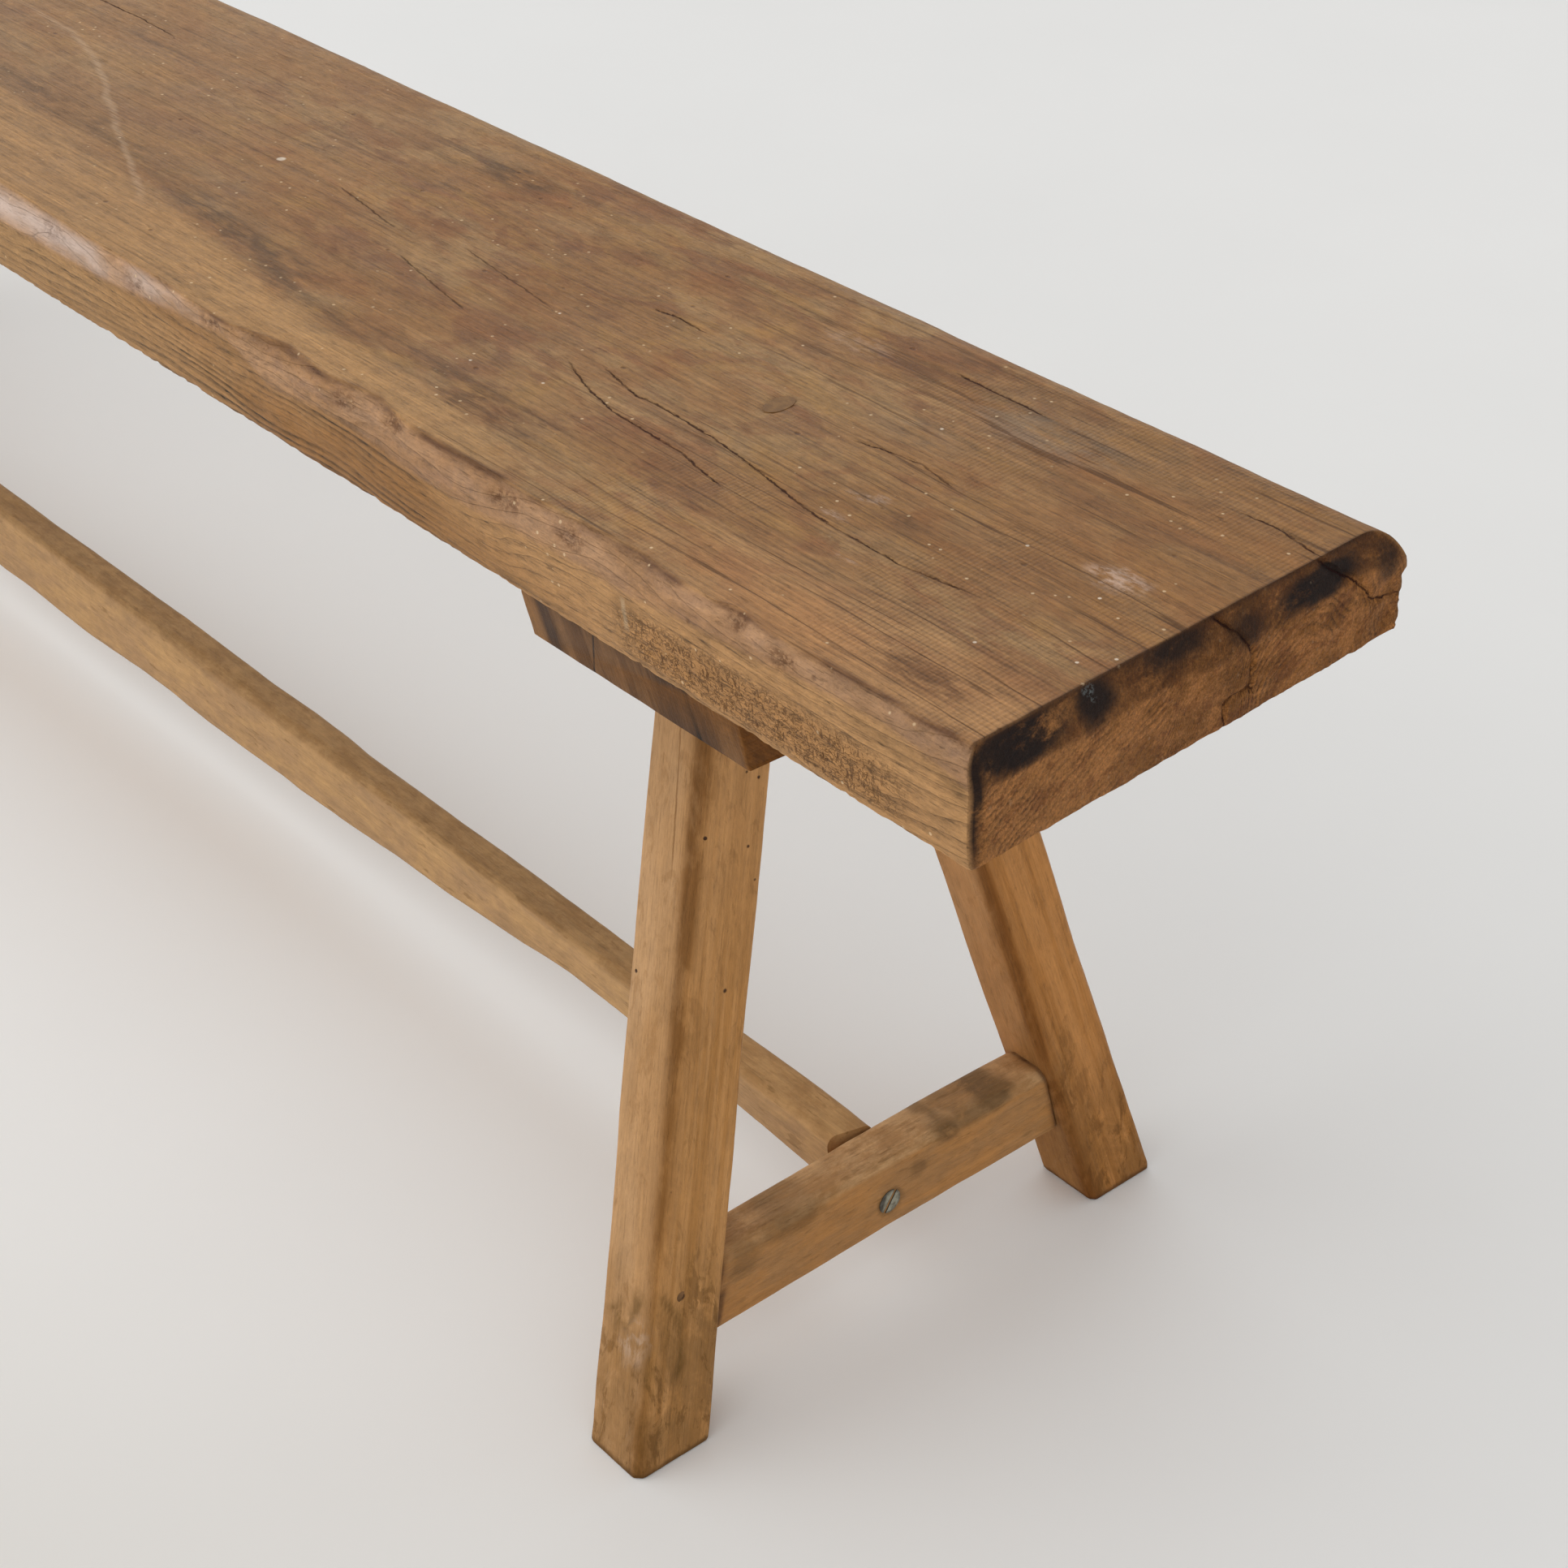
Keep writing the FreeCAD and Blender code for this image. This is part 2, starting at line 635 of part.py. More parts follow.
# ------------------------------------------------------------ check and write
for obj in doc.Objects:
    if "Invalid" in obj.State or "Error" in obj.State:
        raise RuntimeError("%s did not compute: %s" % (obj.Label, obj.State))
os.makedirs("parts", exist_ok=True)
for node in nodes:
    shape = node.Shape
    if shape.isNull() or not shape.isValid() or not shape.Solids:
        raise RuntimeError("%s has no valid solid" % node.Label)
for node in nodes:
    shape = node.Shape
    box = shape.BoundBox
    print(
        "%-26s solids %d  vol %.1f cm3  x %.1f..%.1f  y %.1f..%.1f  z %.1f..%.1f"
        % (node.Label, len(shape.Solids), shape.Volume / 1000, box.XMin, box.XMax, box.YMin, box.YMax, box.ZMin, box.ZMax)
    )
    shape.exportStep("parts/%s.step" % node.Label)
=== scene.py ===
import bpy
import json
import math
import numpy as np
from mathutils import Matrix, Vector

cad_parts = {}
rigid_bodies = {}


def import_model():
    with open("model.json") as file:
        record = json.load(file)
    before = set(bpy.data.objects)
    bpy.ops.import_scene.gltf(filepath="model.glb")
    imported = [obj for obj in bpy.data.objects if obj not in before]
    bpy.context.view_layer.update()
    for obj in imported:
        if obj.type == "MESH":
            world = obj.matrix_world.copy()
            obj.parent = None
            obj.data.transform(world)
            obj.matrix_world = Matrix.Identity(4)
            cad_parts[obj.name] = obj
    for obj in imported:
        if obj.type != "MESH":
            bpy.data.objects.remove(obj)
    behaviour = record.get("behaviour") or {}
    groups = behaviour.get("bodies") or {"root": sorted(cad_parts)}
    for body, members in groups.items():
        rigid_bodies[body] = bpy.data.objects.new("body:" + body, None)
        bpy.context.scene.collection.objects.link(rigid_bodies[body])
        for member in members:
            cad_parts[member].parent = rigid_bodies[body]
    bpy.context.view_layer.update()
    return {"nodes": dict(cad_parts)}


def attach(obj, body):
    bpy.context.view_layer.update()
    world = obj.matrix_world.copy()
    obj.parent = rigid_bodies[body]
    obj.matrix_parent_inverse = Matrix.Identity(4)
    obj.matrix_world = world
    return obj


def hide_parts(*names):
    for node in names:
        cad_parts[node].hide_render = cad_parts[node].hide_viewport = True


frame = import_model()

# Rustic backless bench. All shapes are made in millimetres in the bench's own frame
# (+X right end, -Y front, +Z up, origin on the floor) and stored in metres.


# ------------------------------------------------------------------ noise
def lattice(i, j, k, seed):
    n = (i * 73856093) ^ (j * 19349663) ^ (k * 83492791) ^ (seed * 2654435761)
    n = n & 0xFFFFFFFF
    n = ((n ^ (n >> 15)) * 2246822519) & 0xFFFFFFFF
    n = ((n ^ (n >> 13)) * 3266489917) & 0xFFFFFFFF
    n = n ^ (n >> 16)
    return (n & 0xFFFF) / 32767.5 - 1.0


def value_noise(p, seed=0):
    p = np.asarray(p, float)
    f = np.floor(p)
    i = f.astype(np.int64)
    t = p - f
    t = t * t * (3 - 2 * t)
    out = np.zeros(p.shape[:-1])
    for dx in (0, 1):
        wx = t[..., 0] if dx else 1 - t[..., 0]
        for dy in (0, 1):
            wy = t[..., 1] if dy else 1 - t[..., 1]
            for dz in (0, 1):
                wz = t[..., 2] if dz else 1 - t[..., 2]
                out += wx * wy * wz * lattice(i[..., 0] + dx, i[..., 1] + dy, i[..., 2] + dz, seed)
    return out


def fbm(p, size, octaves=3, seed=0, gain=0.5):
    """Fractal noise about -1..1; size is the feature size in mm, a number or one per axis."""
    q = np.asarray(p, float) / np.asarray(size, float)
    out, amp, total = np.zeros(q.shape[:-1]), 1.0, 0.0
    for o in range(octaves):
        out += amp * value_noise(q + 17.3 * o, seed + 7 * o)
        total += amp
        amp *= gain
        q = q * 2.03
    return out / total


def smooth(x, a, b):
    t = np.clip((np.asarray(x, float) - a) / (b - a), 0, 1)
    return t * t * (3 - 2 * t)


def along(x, pts):
    xs, ys = zip(*pts)
    return np.interp(x, xs, ys)


def blob(p, centre, size):
    """1 at centre falling to 0 at size (mm per axis)."""
    d = (np.asarray(p, float) - np.asarray(centre, float)) / np.asarray(size, float)
    r = np.sqrt((d * d).sum(-1))
    return 1 - smooth(r, 0.35, 1.0)


def line_field(p, line, reach=9.0):
    """Signed distance to a polyline in the plane, and how present the line is there."""
    p = np.asarray(p, float)
    best = np.full(p.shape[:-1], 1e9)
    sign = np.ones(p.shape[:-1])
    share = np.zeros(p.shape[:-1])
    line = np.asarray(line, float)
    step = np.hypot(*(line[1:] - line[:-1]).T)
    run = np.concatenate([[0], np.cumsum(step)])
    for n in range(len(line) - 1):
        a, d = line[n], line[n + 1] - line[n]
        raw = ((p - a) @ d) / (d @ d)
        t = np.clip(raw, 0, 1)
        q = p - (a + t[..., None] * d)
        dist = np.hypot(q[..., 0], q[..., 1])
        s = np.sign(d[0] * q[..., 1] - d[1] * q[..., 0])
        near = dist < best
        best = np.where(near, dist, best)
        sign = np.where(near, np.where(s == 0, 1, s), sign)
        share = np.where(near, (run[n] + t * step[n]) / run[-1], share)
    ends = smooth(share, 0.0, 0.12) * (1 - smooth(share, 0.88, 1.0))
    here = ends * (1 - smooth(best, reach * 0.7, reach))
    return np.clip(best, 0, reach) * sign, here


# ------------------------------------------------------------------ meshes
def make_mesh(name, verts, faces, attrs, sharp=38.0):
    """faces: a list of arrays, one per face size. attrs: floats or 3-vectors per vertex."""
    me = bpy.data.meshes.new(name)
    verts = np.asarray(verts, float) * 0.001
    loops = np.concatenate([np.asarray(f, np.int64).ravel() for f in faces])
    totals = np.concatenate([np.full(len(f), np.asarray(f).shape[1]) for f in faces])
    starts = np.concatenate([[0], np.cumsum(totals)[:-1]])
    me.vertices.add(len(verts))
    me.vertices.foreach_set("co", verts.ravel())
    me.loops.add(len(loops))
    me.loops.foreach_set("vertex_index", loops)
    me.polygons.add(len(totals))
    me.polygons.foreach_set("loop_start", starts)
    me.polygons.foreach_set("loop_total", totals)
    me.update(calc_edges=True)
    me.validate()
    me.polygons.foreach_set("use_smooth", np.ones(len(me.polygons), bool))
    for key, value in attrs.items():
        value = np.asarray(value, np.float32)
        if value.ndim == 2:
            at = me.attributes.new(key, "FLOAT_VECTOR", "POINT")
            at.data.foreach_set("vector", value.ravel())
        else:
            at = me.attributes.new(key, "FLOAT", "POINT")
            at.data.foreach_set("value", value)
    me.set_sharp_from_angle(angle=math.radians(sharp))
    ob = bpy.data.objects.new(name, me)
    bpy.context.scene.collection.objects.link(ob)
    return ob


def grid_normals(P, wrap):
    """Normals of a grid of points P[i, j]; wrap joins the last column to the first."""
    di = np.gradient(P, axis=0)
    if wrap:
        dj = (np.roll(P, -1, 1) - np.roll(P, 1, 1)) / 2
    else:
        dj = np.gradient(P, axis=1)
    n = np.cross(dj, di)
    return n / np.maximum(np.linalg.norm(n, axis=-1, keepdims=True), 1e-9)


def tube_faces(ns, nr):
    i = np.arange(ns - 1)[:, None]
    j = np.arange(nr)[None, :]
    k = (j + 1) % nr
    return np.stack([i * nr + j, i * nr + k, (i + 1) * nr + k, (i + 1) * nr + j], -1).reshape(-1, 4)


def tube(name, P, attrs, flip=False, sharp=38.0):
    """A closed tube from rings P[station, around]; both ends closed by one n-gon each."""
    ns, nr = P.shape[:2]
    quads = tube_faces(ns, nr)
    first = np.arange(nr)[::-1][None, :]
    last = ((ns - 1) * nr + np.arange(nr))[None, :]
    if flip:
        quads, first, last = quads[:, ::-1], first[:, ::-1], last[:, ::-1]
    flat = {k: np.asarray(v).reshape(ns * nr, -1) for k, v in attrs.items()}
    flat = {k: (v if v.shape[1] == 3 else v[:, 0]) for k, v in flat.items()}
    return make_mesh(name, P.reshape(-1, 3), [quads, first, last], flat, sharp)


def ring(corners, per_side, soften):
    """Points round a polygon, the same number on every side, its corners worn by soften passes."""
    corners = np.asarray(corners, float)
    out = []
    for n in range(len(corners)):
        a, b = corners[n], corners[(n + 1) % len(corners)]
        t = np.arange(per_side[n]) / per_side[n]
        out.append(a + t[:, None] * (b - a))
    out = np.concatenate(out)
    for _ in range(soften):
        out = 0.5 * out + 0.25 * (np.roll(out, 1, 0) + np.roll(out, -1, 0))
    return out


def octagon(hx, hy, c):
    """Corners of a rectangle with flats; c = flats at (-,-), (+,-), (+,+), (-,+)."""
    a, b, d, e = [x / math.sqrt(2) for x in c]
    return [
        (-hx + a, -hy), (hx - b, -hy), (hx, -hy + b), (hx, hy - d),
        (hx - d, hy), (-hx + e, hy), (-hx, hy - e), (-hx, -hy + a),
    ]


# ------------------------------------------------------------- node graphs
def lin(c):
    """sRGB 0..255 to linear, four numbers."""
    out = []
    for x in c[:3]:
        x = x / 255.0
        out.append(x / 12.92 if x <= 0.04045 else ((x + 0.055) / 1.055) ** 2.4)
    return tuple(out) + (1.0,)


class Out:
    """A node's output, with arithmetic that makes Math nodes."""

    def __init__(self, graph, socket):
        self.graph, self.socket = graph, socket

    def __add__(self, o): return self.graph.math("ADD", self, o)
    __radd__ = __add__
    def __sub__(self, o): return self.graph.math("SUBTRACT", self, o)
    def __rsub__(self, o): return self.graph.math("SUBTRACT", o, self)
    def __mul__(self, o): return self.graph.math("MULTIPLY", self, o)
    __rmul__ = __mul__
    def __truediv__(self, o): return self.graph.math("DIVIDE", self, o)
    def __pow__(self, o): return self.graph.math("POWER", self, o)


class Graph:
    def __init__(self, name):
        self.mat = bpy.data.materials.new(name)
        self.mat.use_nodes = True
        self.tree = self.mat.node_tree
        self.tree.nodes.clear()
        self.output = self.tree.nodes.new("ShaderNodeOutputMaterial")
        self.shader = self.tree.nodes.new("ShaderNodeBsdfPrincipled")
        self.tree.links.new(self.shader.outputs[0], self.output.inputs[0])
        self._at = {}

    def put(self, socket, value):
        if isinstance(value, Out):
            self.tree.links.new(value.socket, socket)
        else:
            socket.default_value = value

    def node(self, kind, **props):
        n = self.tree.nodes.new(kind)
        for k, v in props.items():
            setattr(n, k, v)
        return n

    def math(self, op, a, b=None, c=None, clamp=False):
        n = self.node("ShaderNodeMath", operation=op, use_clamp=clamp)
        for i, v in enumerate((a, b, c)):
            if v is not None:
                self.put(n.inputs[i], v)
        return Out(self, n.outputs[0])

    def vmath(self, op, a, b=None):
        n = self.node("ShaderNodeVectorMath", operation=op)
        self.put(n.inputs[0], a)
        if b is not None:
            self.put(n.inputs[1], b)
        return Out(self, n.outputs["Value"] if op in ("DISTANCE", "LENGTH", "DOT_PRODUCT") else n.outputs[0])

    def attr(self, name):
        if name not in self._at:
            n = self.node("ShaderNodeAttribute", attribute_name=name)
            self._at[name] = n
        return Out(self, self._at[name].outputs["Fac"])

    def attr_vec(self, name):
        self.attr(name)
        return Out(self, self._at[name].outputs["Vector"])

    def place(self):
        n = self.node("ShaderNodeTexCoord")
        return self.vmath("MULTIPLY", Out(self, n.outputs["Object"]), (1000.0, 1000.0, 1000.0))

    def sep(self, v):
        n = self.node("ShaderNodeSeparateXYZ")
        self.put(n.inputs[0], v)
        return [Out(self, n.outputs[i]) for i in range(3)]

    def vec(self, x, y, z):
        n = self.node("ShaderNodeCombineXYZ")
        for i, v in enumerate((x, y, z)):
            self.put(n.inputs[i], v)
        return Out(self, n.outputs[0])

    def stretch(self, v, sx, sy, sz, shift=(0, 0, 0)):
        n = self.node("ShaderNodeMapping", vector_type="POINT")
        self.put(n.inputs["Vector"], v)
        n.inputs["Location"].default_value = shift
        n.inputs["Scale"].default_value = (sx, sy, sz)
        return Out(self, n.outputs[0])

    def noise(self, v, scale=1.0, detail=3.0, rough=0.55, warp=0.0):
        n = self.node("ShaderNodeTexNoise", noise_dimensions="3D")
        self.put(n.inputs["Vector"], v)
        n.inputs["Scale"].default_value = scale
        n.inputs["Detail"].default_value = detail
        n.inputs["Roughness"].default_value = rough
        n.inputs["Distortion"].default_value = warp
        return Out(self, n.outputs["Fac"])

    def cells(self, v, scale=1.0, feature="F1", jitter=1.0):
        n = self.node("ShaderNodeTexVoronoi", feature=feature)
        self.put(n.inputs["Vector"], v)
        n.inputs["Scale"].default_value = scale
        n.inputs["Randomness"].default_value = jitter
        return Out(self, n.outputs["Distance"]), Out(self, n.outputs["Color"]) if "Color" in n.outputs else None

    def step(self, x, a, b, lo=0.0, hi=1.0):
        """Smooth step from lo at a to hi at b."""
        n = self.node("ShaderNodeMapRange", interpolation_type="SMOOTHSTEP")
        self.put(n.inputs["Value"], x)
        if a > b:
            a, b, lo, hi = b, a, hi, lo
        n.inputs["From Min"].default_value = a
        n.inputs["From Max"].default_value = b
        n.inputs["To Min"].default_value = lo
        n.inputs["To Max"].default_value = hi
        return Out(self, n.outputs["Result"])

    def mix(self, f, a, b, blend="MIX"):
        n = self.node("ShaderNodeMix", data_type="RGBA", blend_type=blend)
        n.clamp_factor = True
        self.put(n.inputs[0], f)
        self.put(n.inputs[6], a)
        self.put(n.inputs[7], b)
        return Out(self, n.outputs[2])

    def tone(self, colour, factor):
        """colour times a scalar output."""
        n = self.node("ShaderNodeVectorMath", operation="SCALE")
        self.put(n.inputs[0], colour if isinstance(colour, Out) else tuple(colour[:3]))
        self.put(n.inputs["Scale"], factor)
        return Out(self, n.outputs[0])

    def bump(self, height, strength, distance_mm):
        n = self.node("ShaderNodeBump")
        n.inputs["Strength"].default_value = strength
        n.inputs["Distance"].default_value = distance_mm * 0.001
        self.put(n.inputs["Height"], height)
        return Out(self, n.outputs[0])

    def finish(self, colour, rough, normal=None, metallic=None, specular=0.35):
        self.put(self.shader.inputs["Base Color"], colour)
        self.put(self.shader.inputs["Roughness"], rough)
        if normal is not None:
            self.put(self.shader.inputs["Normal"], normal)
        if metallic is not None:
            self.put(self.shader.inputs["Metallic"], metallic)
        self.shader.inputs["Specular IOR Level"].default_value = specular
        return self.mat


def ring_lines(g, radius, spacing, soft=0.45):
    """Growth rings: 0 in the early wood rising to 1 in the late wood, then a quick drop."""
    f = g.math("FRACT", radius / spacing)
    return g.step(f, soft, 0.88) * g.step(f, 1.0, 0.93)


def wood(g, Q, pith, spacing, wander=7.0, seed=0.0, fine=1.0):
    """Rings, fibre streaks, pores and patches of a piece whose grain runs along the first axis."""
    x, a, b = g.sep(Q)
    sway = g.noise(g.stretch(Q, 0.0028, 0.012, 0.012, (seed, seed * 1.7, 3.1)), 1.0, 2.0, 0.5)
    ripple = g.noise(g.stretch(Q, 0.011, 0.06, 0.06, (7.7, seed, 1.3)), 1.0, 2.0, 0.5)
    da, db = a - pith[0], b - pith[1]
    radius = g.math("SQRT", da * da + db * db) + (sway - 0.5) * (wander * 3.0) + (ripple - 0.5) * (wander * 0.45)
    rings = ring_lines(g, radius, spacing)
    fibre = g.noise(g.stretch(Q, 0.022, 0.95 * fine, 0.95 * fine, (seed, 2.0, 5.0)), 1.0, 4.0, 0.62)
    streak = g.noise(g.stretch(Q, 0.0055, 0.17, 0.17, (1.0, seed, 9.0)), 1.0, 4.0, 0.6)
    pores = g.noise(g.stretch(Q, 0.07, 1.5 * fine, 1.5 * fine, (3.0, 4.0, seed)), 1.0, 2.0, 0.6)
    pores = g.step(pores, 0.60, 0.74)
    patch = g.noise(g.stretch(Q, 0.0065, 0.021, 0.021, (seed, 8.0, 2.0)), 1.0, 3.0, 0.55, 0.4)
    cloud = g.noise(g.stretch(Q, 0.02, 0.04, 0.04, (5.0, seed, 6.0)), 1.0, 4.0, 0.6, 0.6)
    return dict(x=x, a=a, b=b, radius=radius, rings=rings, fibre=fibre, streak=streak, pores=pores, patch=patch, cloud=cloud)


# =================================================================== the seat
rng = np.random.default_rng(11)
X_END = 900.0

UPPER_EDGE = [  # (x, y) where the flat top meets the waney facet
    (189, -124.1), (283, -127.2), (347, -126.7), (394, -129.3), (414, -130.2), (454, -121.6),
    (490, -125.5), (524, -120.5), (555, -126.4), (621, -125.5), (646, -125.8), (667, -124.2),
    (680, -123.2), (708, -121.1), (738, -124.6), (760, -124.6), (771, -120.6), (792, -124.1),
    (833, -122.4), (871, -123), (893, -121.2), (900, -120.6),
]
free = [(-900, -121)] + [(x, -124.5 + 2.6 * rng.uniform(-1, 1)) for x in range(-870, 180, 37)]
UPPER_EDGE = free + UPPER_EDGE
CREASE_Z = [
    (-900, 434), (-860, 440), (-700, 433), (-480, 436), (-250, 431), (0, 434), (120, 431),
    (300, 434), (394, 441), (414, 443), (450, 431), (506, 436), (555, 431), (618, 431.5),
    (662, 434.5), (690, 435), (712, 433.9), (741, 437.5), (776, 438.5), (804, 440.5), (836, 442.5),
    (858, 443), (882, 439), (900, 434.9),
]
CREASE_Y = [(-900, -127), (-840, -130.5), (600, -131), (700, -130.6), (840, -128.6), (900, -126.4)]

CRACKS_A = [
    ([(301.7, 0.6), (333.8, -3.7), (366.9, -8.7), (390.2, -9.9)], 0.34),
    ([(545.6, -36.6), (576.2, -48.2), (600.9, -54), (624.4, -55.4), (651.6, -56.4), (662, -59.1), (690.3, -64)], 0.8),
    ([(528.6, 25.9), (543.8, 28.4), (565.1, 27.1)], 0.8),
    ([(669.1, 82.5), (689.4, 82.1), (712.9, 82.4), (730.6, 81.2)], 0.7),
    ([(412.3, 2), (459.7, -4.2), (502.8, -9.6)], 0.30),
    ([(836, 78.4), (851.7, 80), (859.7, 79), (868.6, 76.9), (880, 75.0), (895, 74.5)], 0.75),
    ([(-520, 30), (-430, 24), (-350, 25), (-280, 19)], 0.7),
    ([(-760, -60), (-690, -66), (-640, -63), (-590, -70)], 0.8),
]
CRACKS_B = [
    ([(557.4, -28.1), (582.8, -34.3), (596.5, -37.1), (609.3, -35.7), (629.3, -36.7), (649.6, -37.9),
      (676.9, -41.7), (697, -45.2), (719.5, -49.5), (741.2, -51.8), (780.8, -52.6), (823.5, -46.9)], 0.9),
    ([(689.6, 5.2), (702.7, 8.8), (723.1, 11.9), (747.4, 6.8)], 1.1),
    ([(398.7, -26), (440.2, -34.1), (476.1, -40.7)], 0.34),
    ([(-120, 60), (-60, 57), (10, 58), (60, 55)], 0.5),
]
SCRATCH = [(-70, 19.5), (-40, 18.7), (8.6, 15.1), (62.4, 1.2), (134.5, -30.3), (197, -57), (250.4, -79.2), (275, -92)]


def stations():
    left = np.linspace(-X_END, 120, 76)
    right = np.linspace(120, 884, 296)[1:]
    last = 884 + 16 * (1 - (1 - np.linspace(0, 1, 12)[1:]) ** 1.4)
    return np.concatenate([left, right, last])


N_FRONT, N_FACET, N_BACK_ROUND, N_BACK = 17, 11, 15, 13


def top_spread(n):
    """Shares 0..1 across the flat top, closer together where the cracks are."""
    t = np.linspace(0, 1, 4001)
    y = -124 + t * 226
    density = 1.0 + 0.9 * np.exp(-((y + 44) / 16) ** 2) + 0.5 * np.exp(-((y + 120) / 7) ** 2)
    c = np.cumsum(density)
    c = (c - c[0]) / (c[-1] - c[0])
    return np.interp(np.linspace(0, 1, n), c, t)


TOP = top_spread(116)


def section(x, n_top=TOP):
    """The plank's outline at x, from the front bottom edge over the top to the back bottom edge."""
    yu, zc, yc = along(x, UPPER_EDGE), along(x, CREASE_Z), along(x, CREASE_Y)
    yc = min(yc, yu - 1.2) if x < 860 else yc
    t = np.linspace(0, 1, N_FRONT)
    front = np.stack([-125 + (yc + 125) * t - 1.3 * np.sin(math.pi * t) * (1 - t), 400 + (zc - 400) * t], -1)
    t = np.linspace(0, 1, N_FACET)[1:]
    out = 1.7 * np.sin(math.pi * t)
    facet = np.stack([yc + (yu - yc) * t ** 1.25 - out * 0.75, zc + (450 - zc) * t + out * 0.35], -1)
    top = np.stack([yu + (102 - yu) * n_top[1:], np.full(len(n_top) - 1, 450.0)], -1)
    a = np.linspace(0, math.pi / 2, N_BACK_ROUND)[1:]
    back_round = np.stack([102 + 23 * np.sin(a), 427 + 23 * np.cos(a)], -1)
    t = np.linspace(0, 1, N_BACK)[1:]
    back = np.stack([np.full(len(t), 125.0), 427 - 27 * t], -1)
    return np.concatenate([front, facet, top, back_round, back])


XS = stations()
SEC = np.stack([section(x) for x in XS])
for _ in range(1):
    SEC[1:-1] = 0.5 * SEC[1:-1] + 0.25 * (SEC[:-2] + SEC[2:])
NP = SEC.shape[1]
I_CREASE, I_UP = N_FRONT - 1, N_FRONT + N_FACET - 2
I_TOP_END = I_UP + len(TOP) - 1


def end_x(y, z, side):
    """Where the sawn and bevelled end lies, from the middle."""
    skew = 14.0 if side > 0 else 6.0
    base = X_END - skew * (y + 125) / 250
    q = np.stack([np.full_like(y, side * 900.0), y, z * 0 + 430], -1)
    drop = 15.0 + 2.2 * fbm(q, 26, 3, 5)
    t = np.clip((z - (450 - drop)) / drop, 0, 1)
    bevel = 7.0 * t ** 1.06
    corner = 3.6 * (1 - smooth(y + 125, -2.5, 5.5)) ** 1.5 * (1 - 0.55 * t)
    return base - bevel - corner


P = np.zeros((len(XS), NP, 3))
for i, x in enumerate(XS):
    y, z = SEC[i, :, 0], SEC[i, :, 1]
    side = 1 if x > 0 else -1
    e = end_x(y, z, side)
    s = max(0.0, (abs(x) - 560.0) / (X_END - 560.0))
    s = s ** 1.6
    px = side * (abs(x) * (1 - s) + s * (e + (abs(x) - X_END)))
    if abs(x) == X_END:
        px = side * e
    P[i, :, 0], P[i, :, 1], P[i, :, 2] = px, y, z
BASE = P.copy()

# wear: long soft hollows on top, a lumpier front, a wavy back, ragged bottom edges
col = np.arange(NP)[None, :] * np.ones((len(XS), 1))
w_front = 1 - smooth(col, I_CREASE - 1, I_CREASE + 1)
w_facet = smooth(col, I_CREASE - 1, I_CREASE + 1) * (1 - smooth(col, I_UP - 1.5, I_UP + 0.5))
w_top = smooth(col, I_UP, I_UP + 2) * (1 - smooth(col, I_TOP_END - 2, I_TOP_END + 1))
w_back = smooth(col, I_TOP_END, I_TOP_END + 3)
N = -grid_normals(P, False)
amp = (
    w_top * 0.42 * fbm(P, (150, 40, 40), 3, 1)
    + w_top * 0.10 * fbm(P, (9, 5, 5), 2, 2)
    + w_front * (0.55 * fbm(P, (46, 14, 14), 3, 3) + 0.22 * fbm(P, (5, 3, 3), 2, 4))
    + w_facet * (1.15 * fbm(P, (30, 9, 9), 3, 5) + 0.30 * fbm(P, (6, 4, 4), 2, 6))
    + w_back * (0.8 * fbm(P, (70, 20, 20), 3, 7) + 0.2 * fbm(P, (7, 4, 4), 2, 8))
)
PITS = [  # x, z, size along, size up, depth on the waney facet
    (402.7, 446, 13, 5, 1.8), (506.7, 444, 11, 5, 1.9), (544, 446, 12, 4, 1.3), (626, 443, 16, 6, 2.1),
    (669.8, 443, 14, 6, 1.7), (798.5, 444, 12, 5, 1.7), (770, 447, 8, 4, 1.1), (250, 443, 18, 6, 1.4),
    (330, 442, 15, 5, 1.3), (60, 444, 20, 6, 1.5), (-150, 442, 17, 6, 1.7), (-420, 444, 14, 5, 1.9), (-640, 443, 16, 6, 1.5),
]
pit = np.zeros(P.shape[:2])
for x, z, sx, sz, d in PITS:
    q = P + 1.5 * np.stack([fbm(P, 6, 2, 31), fbm(P, 6, 2, 32), fbm(P, 6, 2, 33)], -1)
    m = blob(q[..., [0, 2]], (x, z), (sx, sz)) * (w_facet + w_front) * (P[..., 1] < -110)
    amp = amp - d * m * (0.7 + 0.5 * fbm(P, 3, 2, 34))
    pit = np.maximum(pit, m)
# crumbly open grain along the middle of the right-hand front face
rough = (w_front * smooth(P[..., 0], 690, 725) * (1 - smooth(P[..., 0], 835, 875))
         * smooth(P[..., 2], 402, 407) * (1 - smooth(P[..., 2], 420, 431)))
cell = fbm(P * [0.8, 1, 1.0], 2.6, 2, 41)
amp = amp - rough * 0.75 * smooth(cell, 0.05, 0.55)
field_a = np.full(P.shape[:2], 9.0); here_a = np.zeros(P.shape[:2])
field_b = np.full(P.shape[:2], 9.0); here_b = np.zeros(P.shape[:2])
for lines, pack in ((CRACKS_A, "a"), (CRACKS_B, "b")):
    for line, width in lines:
        sd, here = line_field(P[..., :2], line)
        here = here * width * (w_top + (P[..., 2] > 449.9))
        here = np.clip(here, 0, 1.2)
        f, h = (field_a, here_a) if pack == "a" else (field_b, here_b)
        take = here > h
        closer = np.abs(sd) < np.abs(f)
        f[closer] = sd[closer]
        h[take] = here[take]
        amp = amp - 0.45 * here * (1 - smooth(np.abs(sd), 0.2, 1.3))
# painted reflection: a pale sheen band along the middle of the waney facet, fading to a trace right of x 300 to 420
painted_sheen_band = w_facet * np.exp(-((col - (I_CREASE + 5.0)) / 4.2) ** 2)
